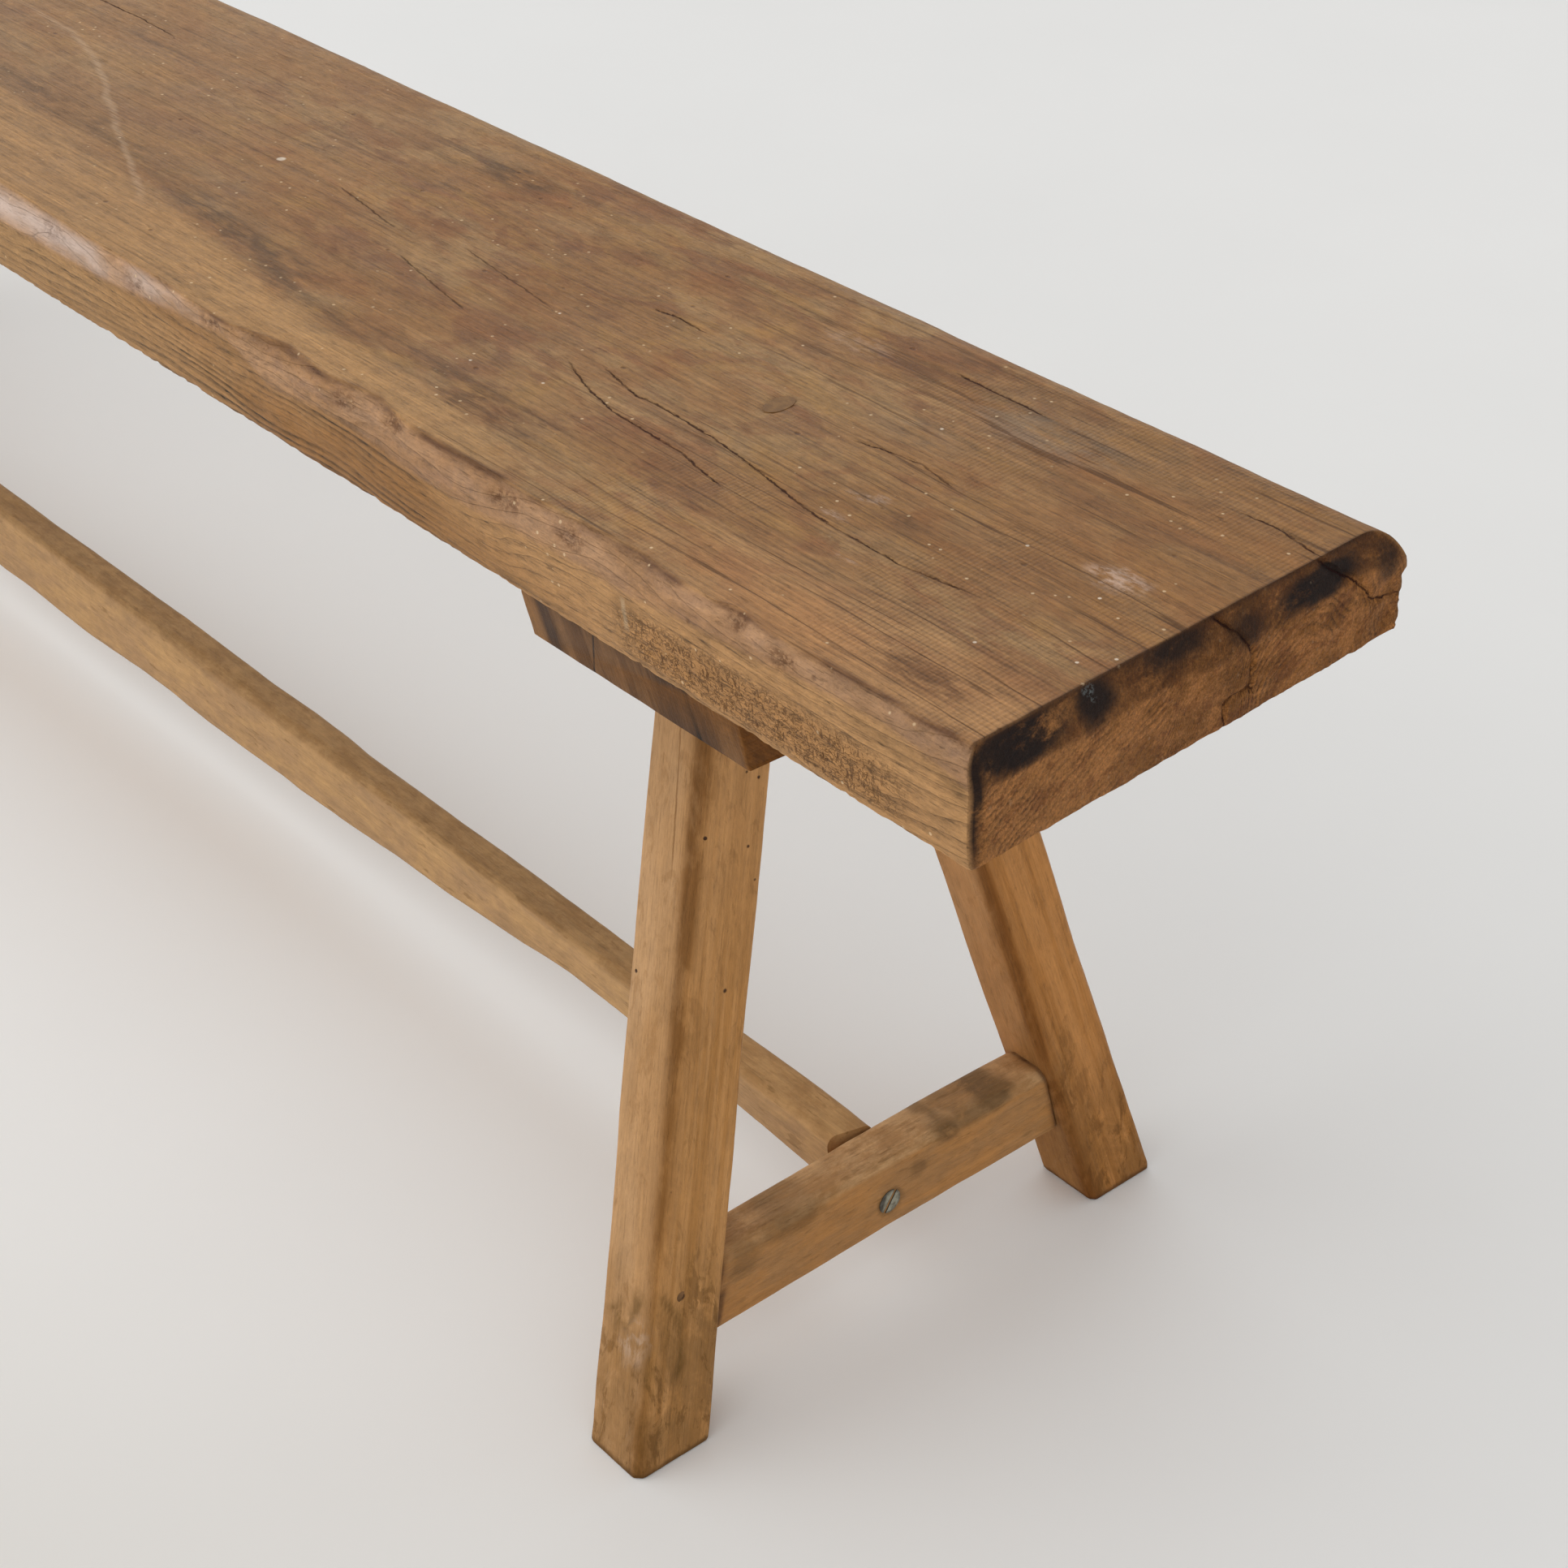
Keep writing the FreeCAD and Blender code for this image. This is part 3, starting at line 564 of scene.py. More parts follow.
painted_sheen_band = painted_sheen_band * np.clip(1.0 - smooth(P[..., 0], 300, 420) * 0.90, 0, 1) * smooth(fbm(P, (60, 30, 30), 2, 43), -0.8, -0.1)
lip = np.exp(-((col - (I_UP - 0.6 + 0.8 * fbm(P, (14, 9, 9), 3, 44))) / 1.15) ** 2) * smooth(P[..., 0], 330, 380) * smooth(fbm(P, (22, 9, 9), 3, 45), -0.35, 0.25)
scr_f, scr_h = line_field(P[..., :2], SCRATCH, 14.0)
scr_h = scr_h * w_top
# the plugs' seats
plug_rim = np.zeros(P.shape[:2])
for sx in (1, -1):
    a = math.radians(90 + sx * 11)
    dx, dy = P[..., 0] - sx * 642.3, P[..., 1] - 3.9
    u, v = dx * math.cos(a) + dy * math.sin(a), -dx * math.sin(a) + dy * math.cos(a)
    r = np.sqrt((u / 9.25) ** 2 + (v / 5.25) ** 2)
    m = (1 - smooth(r, 1.0, 1.2)) * (P[..., 2] > 449)
    amp = np.where((P[..., 2] > 449) & (r < 1.5), amp * smooth(r, 1.0, 1.5) - 0.45 * m, amp)
    plug_rim = np.maximum(plug_rim, m)
keep = np.ones(P.shape[:2])
keep[0], keep[-1] = 0.35, 0.35
P = P + N * (amp * keep)[..., None]
# the sawn end breaks away in small steps at the back lower corner
for i, w in ((0, 1.0), (1, 0.75), (2, 0.4), (len(XS) - 1, 1.0), (len(XS) - 2, 0.75), (len(XS) - 3, 0.4)):
    bz = P[i, :, 2]
    frac = np.abs(np.sin(np.arange(NP) * 12.9898 + (0 if i > 5 else 2)) * 43.75) % 1.0
    part = (1 - smooth(bz, 425, 430)) * (P[i, :, 1] > 112)
    P[i, :, 0] -= np.sign(P[i, :, 0]) * w * part * (0.3 + 3.8 * frac ** 1.5)
    P[i, :, 1] -= w * part * 1.6 * (1 - frac)
# ragged lower edges
rag = 1.1 * fbm(np.stack([P[..., 0], P[..., 0] * 0, P[..., 0] * 0 + 5], -1), 7, 3, 51) + 0.5 * fbm(np.stack([P[..., 0], P[..., 0] * 0, P[..., 0] * 0], -1), 2.6, 2, 52)
P[:, 0, 1] += np.abs(rag[:, 0]) * 0.9 + 0.4
P[:, 1, 1] += np.abs(rag[:, 1]) * 0.25
P[:, -1, 1] -= np.abs(rag[:, -1]) * 0.9 + 0.5
P[:, 0, 2] = 400 + np.clip(rag[:, 0], 0, 2) * 0.6
P[:, -1, 2] = 400 + np.clip(-rag[:, -1], 0, 2) * 0.6
P[..., 2] = np.maximum(P[..., 2], 400.0)

# ---- end faces: a grid filling the outline, with the bevel, rings worn proud and cracks
NT = len(TOP)
FRONT_ROWS = N_FRONT + N_FACET - 1          # columns of the profile that climb the front
BACK_ROWS = N_BACK_ROUND + N_BACK - 1


def end_cap(i, side):
    """Grid [row up, column across] whose top three sides are station i of the plank."""
    edge = P[i]
    left = edge[:FRONT_ROWS]
    top = edge[FRONT_ROWS - 1:FRONT_ROWS - 1 + NT]
    back = edge[FRONT_ROWS - 2 + NT:][::-1]
    rows = FRONT_ROWS
    s = np.linspace(0, 1, NT)
    low = left[0] + s[:, None] * (back[0] - left[0])
    low = low.copy()
    q = np.stack([low[:, 0] * 0 + side * 77, low[:, 1], low[:, 1] * 0], -1)
    low[1:-1, 2] = 400 + np.clip(0.9 * fbm(q, 5, 3, 61) + 0.35, 0, 1.6)[1:-1] * np.minimum(1, np.minimum(s, 1 - s)[1:-1] * 20)
    u, v = np.meshgrid(s, np.linspace(0, 1, rows))
    u, v = u[..., None], v[..., None]
    ruled_v = (1 - v) * low[None] + v * top[None]
    ruled_u = (1 - u) * left[:, None] + u * back[:, None]
    both = (1 - u) * (1 - v) * low[0] + u * (1 - v) * low[-1] + (1 - u) * v * top[0] + u * v * top[-1]
    G = ruled_v + ruled_u - both
    base = G.copy()
    y, z = G[..., 1], G[..., 2]
    x = end_x(y, np.minimum(z, 450), side)
    q = np.stack([y * 0 + side * 900, y, z], -1)
    inner = np.minimum(1, np.minimum(u[..., 0], 1 - u[..., 0]) * 30) * np.minimum(1, np.minimum(v[..., 0], 1 - v[..., 0]) * 12)
    rough = 0.35 * fbm(q, 9, 3, 63) + 0.25 * fbm(q, 2.6, 2, 64)
    drop_band = smooth(z, 431, 437)
    rough = rough * (1 - 0.5 * drop_band)
    r = np.hypot(y - 62, z - 402)
    rough = rough + 0.22 * np.sin(r * 2 * math.pi / 5.2) * (1 - smooth(r, 35, 60)) * (1 - drop_band)
    crack, here = line_field(np.stack([y, z], -1), [(6, 452), (13, 445), (21.5, 438), (27, 430), (28.9, 413), (18.5, 414), (12.4, 412), (14.6, 397)], 7.0)
    here = np.clip(here * 1.3, 0, 1)
    rough = rough - 1.4 * here * (1 - smooth(np.abs(crack), 0.4, 1.6))
    crack2, here2 = line_field(np.stack([y, z], -1), [(70, 452), (78, 444), (90, 436), (97, 430), (104, 422), (112, 420), (122, 419), (128, 420)], 7.0)
    rough = rough - 1.6 * here2 * (1 - smooth(np.abs(crack2), 0.5, 2.2))
    ragged = smooth(y, 100, 122) * (1 - smooth(z, 426, 431))
    steps = np.floor((z + 0.10 * y + 1.2 * fbm(q, (8, 8, 8), 2, 67)) / 5.2)
    rough = rough - ragged * (1.4 + 2.2 * fbm(q, (8, 8, 4), 3, 66) + 2.4 * (np.abs(np.sin(steps * 12.9898) * 43.75) % 1.0))
    G[..., 0] = np.where(inner > 0, side * (x + rough * inner), base[..., 0])
    G[0, :, :] = low
    G[-1], G[:, 0], G[:, -1] = top, left, back
    if side > 0:
        fields = (crack, here), (crack2, here2)
    else:
        fields = (crack, here * 0.6), (crack2, here2 * 0.6)
    return G, fields


def build_seat():
    verts = [P.reshape(-1, 3)]
    base = [BASE.reshape(-1, 3)]
    n0 = len(XS) * NP
    A = {
        "front": (w_front + w_facet) * np.ones(P.shape[:2]), "facet": w_facet, "top": w_top, "back": w_back, "endf": np.zeros(P.shape[:2]),
        "painted_sheen_band": painted_sheen_band, "lip": lip, "pit": pit, "rough": rough, "crka": field_a, "crka_w": here_a, "crkb": field_b, "crkb_w": here_b,
        "scr": scr_f, "scr_w": scr_h, "rim": plug_rim,
    }
    S_ATTR = {k: [v.ravel()] for k, v in A.items()}
    i, j = np.arange(len(XS) - 1)[:, None], np.arange(NP - 1)[None, :]
    quads = [np.stack([i * NP + j, (i + 1) * NP + j, (i + 1) * NP + j + 1, i * NP + j + 1], -1).reshape(-1, 4)]
    # underside, one wide face per pair of stations
    i = np.arange(1, len(XS) - 2)
    quads.append(np.stack([i * NP, i * NP + NP - 1, (i + 1) * NP + NP - 1, (i + 1) * NP], -1))
    ngons = []
    count = n0
    for side, st in ((1, len(XS) - 1), (-1, 0)):
        G, fields = end_cap(st, side)
        rows, cols = G.shape[:2]
        idx = np.zeros((rows, cols), int)
        idx[:, 0] = st * NP + np.arange(rows)
        idx[-1, :] = st * NP + FRONT_ROWS - 1 + np.arange(cols)
        idx[:, -1] = st * NP + NP - 1 - np.arange(rows)
        new = np.zeros((rows, cols), bool)
        new[:-1, 1:-1] = True
        k = new.sum()
        idx[new] = count + np.arange(k)
        count += k
        verts.append(G[new])
        b = G[new].copy()
        base.append(b)
        z, y = b[:, 2], b[:, 1]
        (c1, h1), (c2, h2) = fields
        for key in A:
            S_ATTR[key].append(np.zeros(k))
        S_ATTR["endf"][-1] = np.ones(k)
        S_ATTR["crka"][-1] = c1[new]
        S_ATTR["crka_w"][-1] = h1[new]
        S_ATTR["crkb"][-1] = c2[new]
        S_ATTR["crkb_w"][-1] = h2[new]
        S_ATTR["rough"][-1] = smooth(y, 100, 120) * (1 - smooth(z, 424, 429))
        a, c = idx[:-1, :-1], idx[1:, 1:]
        f = np.stack([a, idx[:-1, 1:], c, idx[1:, :-1]], -1).reshape(-1, 4)
        quads.append(f if side > 0 else f[:, ::-1])
        nxt = st - 1 if side > 0 else st + 1
        under = list(idx[0, :]) + [nxt * NP + NP - 1, nxt * NP]
        ngons.append(under[::-1] if side > 0 else under)
    verts = np.concatenate(verts)
    base = np.concatenate(base)
    faces = quads + [np.array([g]) for g in ngons]
    attrs = {k: np.concatenate(v) for k, v in S_ATTR.items()}
    attrs["wq"] = base
    ob = make_mesh("seat_board", verts, faces, attrs, 33.0)
    print("seat faces", len(ob.data.polygons), "verts", len(verts))
    return ob


seat = build_seat()

# =================================================================== the legs
LEG_WIDE, LEG_DEEP = 36.7, 41.8
SHOULDER = 376.5


def axis(z):
    t = z / SHOULDER
    return 725.5 - 59.5 * t, 147.8 - 100.4 * t


def build_leg(name, sx, sy, flats, seed):
    """A hewn leg with its through tenon. flats: corner flats at (-x,-y), (+x,-y), (+x,+y), (-x,+y)."""
    zs = np.concatenate([[0.0, 0.5, 1.6, 3.4], np.linspace(5.5, 374.0, 150), [375.6, 376.35, 376.5, 376.5, 388.0, 400.0]])
    side = [15, 7] * 4
    sides = [side[n] for n in (0, 1, 0, 1, 0, 1, 0, 1)]
    nr = sum(sides)
    out = np.zeros((len(zs), nr, 3))
    local = np.zeros((len(zs), nr, 3))
    for i, z in enumerate(zs):
        ax, ay = axis(z)
        ax, ay = sx * ax, sy * ay
        k = 1.024 + (1 - 1.024) * z / SHOULDER
        if i <= len(zs) - 4:
            c = [f * (1.0 + 0.22 * math.sin(z / 61.0 + seed + 1.7 * n) + 0.10 * math.sin(z / 19.0 + 2.3 * seed + n)) for n, f in enumerate(flats)]
            c = [f * (0.62 + 0.38 * min(1.0, z / 70.0)) for f in c]
            shrink = [1.3, 0.55, 0.18, 0.03][i] if i < 4 else 0.0
            r = ring(octagon(LEG_WIDE * k / 2 - shrink, LEG_DEEP * k / 2 - shrink, c), sides, 1)
        else:
            r = ring(octagon(11.0, 13.0, [0.6] * 4), sides, 1)
        out[i, :, 0], out[i, :, 1], out[i, :, 2] = ax + r[:, 0], ay + r[:, 1], z
        local[i, :, 0] = z + 900 * seed
        local[i, :, 1], local[i, :, 2] = r[:, 0], r[:, 1]
    n = grid_normals(out, True)
    n[..., 2] = 0
    n /= np.linalg.norm(n, axis=-1, keepdims=True)
    w = (smooth(out[..., 2], 0.2, 4.0) * (1 - smooth(out[..., 2], 374.5, 376.4)))
    q = local + [0, 0, 37 * seed]
    amp = w * (0.42 * fbm(q, (80, 22, 22), 3, 70 + int(seed)) + 0.28 * fbm(q, (26, 9, 9), 2, 80 + int(seed)) + 0.07 * fbm(q, (5, 2.5, 2.5), 2, 90))
    lowest = 1 - smooth(out[..., 2], 0, 26)
    amp = amp - lowest * 0.5 * np.abs(fbm(q, (9, 7, 7), 2, 95)) * smooth(out[..., 2], 0.0, 1.2)
    attrs = {}
    p = out
    zero = np.zeros(p.shape[:2])
    attrs["dark"], attrs["pale"], attrs["crk"], attrs["crk_w"] = zero.copy(), zero.copy(), zero + 9, zero.copy()
    attrs["edge"] = zero.copy()
    if sx > 0 and sy < 0:
        front, right = (n[..., 1] < -0.55), (n[..., 0] > 0.55)
        line, here = line_field(np.stack([p[..., 0] - sx * axis(0)[0] + 59.5 * p[..., 2] / SHOULDER, p[..., 2]], -1),
                                [(2.2, 378), (2.2, 335), (4.0, 300), (5.0, 272)], 6.0)
        attrs["crk"], attrs["crk_w"] = line, here * front
        amp = amp - 0.25 * here * front * (1 - smooth(np.abs(line), 0.3, 1.4))
    # grime at the foot, its upper edge wandering round the leg
    edge = 76 + 46 * fbm(np.stack([p[..., 0] * 0 + seed * 31, p[..., 0], p[..., 1]], -1), (1, 16, 16), 2, 97)
    attrs["dark"] = np.clip((1 - smooth(p[..., 2], edge - 36, edge + 36)) * 0.85 + 0.12, 0, 1)
    out = out + n * amp[..., None]
    out[..., 2] = np.maximum(out[..., 2], 0.0)
    attrs["wq"] = local
    return tube(name, out, attrs, sharp=40.0)


legs = {}
for sx, side_name in ((1, "right"), (-1, "left")):
    for sy, face_name in ((-1, "front"), (1, "back")):
        seed = {(1, -1): 1, (1, 1): 2, (-1, -1): 3, (-1, 1): 4}[(sx, sy)]
        flats = [4.2, 4.2, 4.2, 4.2]
        flats[{(1, -1): 1, (1, 1): 1, (-1, -1): 0, (-1, 1): 3}[(sx, sy)]] = 7.6
        name = face_name + "_" + side_name
        legs[name] = build_leg("hewn_leg_" + name, sx, sy, flats, seed)


# ========================================================== cross stretchers
def build_cross(name, sx, seed):
    low, high, thick = 47.0, 87.4, 27.4
    mid = sx * 714.3
    lean = 100.4 / SHOULDER

    def shoulder_y(z):
        return 147.8 - lean * z - LEG_DEEP * (1.024 - 0.024 * z / SHOULDER) / 2

    ts = np.concatenate([np.linspace(-1, 1, 104)])
    sides = [13, 6, 17, 6, 13, 6, 17, 6]
    nr = sum(sides)
    rings, local = [], []

    def tenon(y):
        r = ring(octagon(6.0, 18.0, [0.6] * 4), sides, 1)
        rings.append(np.stack([mid - r[:, 0], np.full(nr, y), 68.0 + r[:, 1]], -1))
        local.append(np.stack([np.full(nr, y) + 700 * seed, -r[:, 0], r[:, 1]], -1))

    tenon(-137.0)
    tenon(-112.0)
    for n, t in enumerate(ts):
        c = [2.6, 3.0, 5.0, 6.4]
        c = [f * (1 + 0.22 * math.sin(2.6 * t + seed + 1.3 * m)) for m, f in enumerate(c)]
        shrink = 0.35 if n in (0, len(ts) - 1) else 0.0
        sag = 0.7 * (1 - t * t)
        r = ring(octagon(thick / 2 - shrink, (high - low) / 2 + 0.6 - shrink, c), sides, 2)
        z = (low + high) / 2 - 0.6 + r[:, 1] + (sag if sx > 0 else -sag) * 0.35
        gap = 0.7 + 0.9 * (t < -0.5) * smooth(90 - z, 10, 40) + 0.6 * (t > 0.5) * smooth(z, 60, 84)
        y = t * (shoulder_y(z) - gap)
        rings.append(np.stack([mid - r[:, 0], y, z], -1))
        local.append(np.stack([t * 112 + np.zeros(nr) + 700 * seed, -r[:, 0], r[:, 1]], -1))
    tenon(112.0)
    tenon(137.0)
    out, local = np.stack(rings), np.stack(local)
    n = grid_normals(out, True)
    n[..., 1] *= 0.2
    n /= np.linalg.norm(n, axis=-1, keepdims=True)
    body = np.zeros(out.shape[:2])
    body[3:-3] = 1
    body *= 1 - smooth(np.abs(out[..., 1]), 103, 118) * 0.4
    amp = body * (0.55 * fbm(out, (24, 52, 20), 3, 110 + seed) + 0.2 * fbm(out, (8, 16, 8), 2, 120 + seed) + 0.06 * fbm(out, 3, 2, 125))
    # the screw sits in a shallow bruise on the outer face
    ry, rz = out[..., 1] + 0.6, out[..., 2] - 62.9
    r = np.hypot(ry, rz)
    outer = (sx * (out[..., 0] - mid) > 8)
    near = (1 - smooth(r, 6.6, 10.5)) * outer
    amp = amp * (1 - near) - 0.45 * (1 - smooth(r, 6.9, 8.6)) * outer
    # the ring attribute marks painted shade: a dark ring round the screw in its recess
    attrs = {"wq": local, "ring": (1 - smooth(np.abs(r - 6.9), 0.4, 2.4)) * outer}
    dark = np.zeros(out.shape[:2])
    pale = np.zeros(out.shape[:2])
    for y, z, sy_, sz_, k in ((37.7, 84.5, 12, 6, 0.9), (70, 86, 20, 6, 0.9), (16.7, 73.7, 9, 7, 0.55), (-60, 83, 26, 9, 0.6), (-92, 78, 16, 14, 0.5), (52, 85, 16, 5, 0.7)):
        dark = np.maximum(dark, k * blob(np.stack([out[..., 1] + 6 * fbm(out, 9, 2, 127), out[..., 2]], -1), (y, z), (sy_, sz_)))
    attrs["dark"] = dark
    attrs["top"] = smooth(n[..., 2], 0.2, 0.8)
    out = out + n * amp[..., None]
    return tube(name, out, attrs, flip=False, sharp=40.0)


cross = {"right": build_cross("hewn_cross_right", 1, 1), "left": build_cross("hewn_cross_left", -1, 2)}


# ============================================================ long stretcher
BEAM_LOW = [(0, 38.3), (160, 38.5), (187, 39.7), (215, 41), (242, 43.6), (268, 45.5), (293, 46.6), (319, 49.2),
            (343, 50.4), (368, 51.8), (391, 53.9), (415, 55.6), (437, 57.2), (460, 58.9), (482, 60.2), (560, 60.7), (660, 60.6), (700.6, 58.2)]
BEAM_BACK = [(0, 16.5), (230, 16.5), (260, 15.4), (404, 15.2), (460, 14), (494, 13.4), (609, 12.4), (700.6, 12.2)]
BEAM_FRONT = [(0, -7.4), (250, -7.4), (480, -8.4), (560, -9.6), (640, -12.2), (700.6, -12.6)]


def build_beam():
    xs = np.concatenate([[-700.4, -699.6], np.linspace(-697, 0, 130), np.linspace(0, 697, 210)[1:], [699.6, 700.4]])
    sides = [12, 6, 16, 6, 12, 6, 16, 6]
    nr = sum(sides)
    out = np.zeros((len(xs), nr, 3))
    for i, x in enumerate(xs):
        a = abs(x)
        low, back, front = along(a, BEAM_LOW), along(a, BEAM_BACK), along(a, BEAM_FRONT)
        mid, half = (back + front) / 2, (back - front) / 2
        zc, hz = (87.4 + low) / 2, (87.4 - low) / 2
        deep = smooth(a, 480, 200)
        c = [4.6 + 4 * deep, 4.0 + 3 * deep, 3.6, 4.2 + 1.6 * deep]
        c = [f * (1 + 0.25 * math.sin(x / 71.0 + 1.9 * n) + 0.12 * math.sin(x / 23.0 + n)) for n, f in enumerate(c)]
        r = ring(octagon(half, hz, [c[0], c[1], c[2], c[3]]), sides, 3)
        # the section is drawn in (y, z), anticlockwise seen from +x
        out[i, :, 0] = x
        out[i, :, 1] = mid + r[:, 0]
        out[i, :, 2] = zc + r[:, 1]
    # its ends: the top leans back from the cross stretcher at the front
    for s in (1, -1):
        near = smooth(s * out[..., 0], 640, 700)
        share = smooth(out[..., 2], 58, 87) * (1 - smooth(out[..., 1], -14, 12))
        out[..., 0] -= s * near * (4.8 * share + 0.2)
    n = grid_normals(out, True)
    n[..., 0] *= 0.2
    n /= np.linalg.norm(n, axis=-1, keepdims=True)
    keep = 1 - smooth(np.abs(out[..., 0]), 685, 699)
    amp = keep * (0.9 * fbm(out, (75, 16, 16), 3, 131) + 0.35 * fbm(out, (22, 9, 9), 2, 132) + 0.07 * fbm(out, 4, 2, 133))
    local = out.copy()
    out = out + n * amp[..., None]
    attrs = {"wq": local, "top": smooth(n[..., 2], 0.25, 0.8)}
    return tube("hewn_beam", out, attrs, flip=False, sharp=42.0)


beam = build_beam()


# ==================================================================== cleats
def build_cleat(name, sx, seed):
    inner, outer = 619.2, 769.2
    low = SHOULDER + 0.35
    sec = [(inner, 400.0), (inner, 393.5), (inner + 8, low), (outer, low), (outer - 9.0, 400.0)]
    if sx < 0:
        sec = [(-x, z) for x, z in sec]
    ys = np.concatenate([[-119.0, -118.7, -118.0], np.linspace(-116, -110, 7), np.linspace(-108, 108, 80), np.linspace(110, 118.6, 8), [119.0]])
    counts = [6, 14, 90, 18, 12]
    rings, local = [], []
    for i, y in enumerate(ys):
        s = [list(q) for q in sec]
        r = ring(s, counts, 0)
        shrink = {0: 0.5, 1: 0.15}.get(i, 0.5 if i == len(ys) - 1 else 0.0)
        c = r.mean(0)
        r = c + (r - c) * (1 - shrink / 40.0)
        r[:, 1] = np.minimum(r[:, 1], 400.0)
        rings.append(np.stack([r[:, 0], np.full(len(r), y), r[:, 1]], -1))
    out = np.stack(rings)
    n = grid_normals(out, True)
    n[..., 1] = 0
    n /= np.maximum(np.linalg.norm(n, axis=-1, keepdims=True), 1e-9)
    if sx > 0:
        n = -n
    # seen along +y the section runs clockwise on the right-hand cleat
    q = out + [0, 0, 50 * seed]
    side = (np.abs(n[..., 2]) < 0.7)
    under = n[..., 2] < -0.7
    amp = side * 0.4 * fbm(q, (12, 40, 10), 3, 140 + seed) + under * 0.25 * fbm(q, (14, 60, 10), 2, 141 + seed)
    local = np.stack([out[..., 1] + 400 * seed, out[..., 0], out[..., 2]], -1)
    out = out + n * (amp - 0.25 * (side | under))[..., None]
    attrs = {"wq": local, "outer": smooth(n[..., 0] * sx, 0.5, 0.8)}
    return tube(name, out, attrs, flip=(sx > 0), sharp=30.0)


cleats = {"right": build_cleat("sawn_cleat_right", 1, 1), "left": build_cleat("sawn_cleat_left", -1, 2)}


# ================================================================ materials
UP, VEIL = 0.80, 0.030   # light on the lit faces, and the sheen on top of it


def alb(r, g_, b, k=1.0):
    """Surface colour that shows as this sRGB colour under the room's light."""
    c = lin((r, g_, b))
    return tuple(min(0.92, max(0.004, (v - VEIL * (0.55 + 0.45 * (v / 0.3))) / UP * k)) for v in c[:3]) + (1.0,)


def spots(g, Q, centres, radius):
    """1 inside small round marks at the given places."""
    total = None
    for n, c in enumerate(centres):
        d = g.vmath("DISTANCE", Q, tuple(float(v) for v in c[:3]))
        r = radius if len(c) < 4 else c[3]
        m = g.step(d, r * 1.15, r * 0.6)
        total = m if total is None else g.math("MAXIMUM", total, m)
    return total


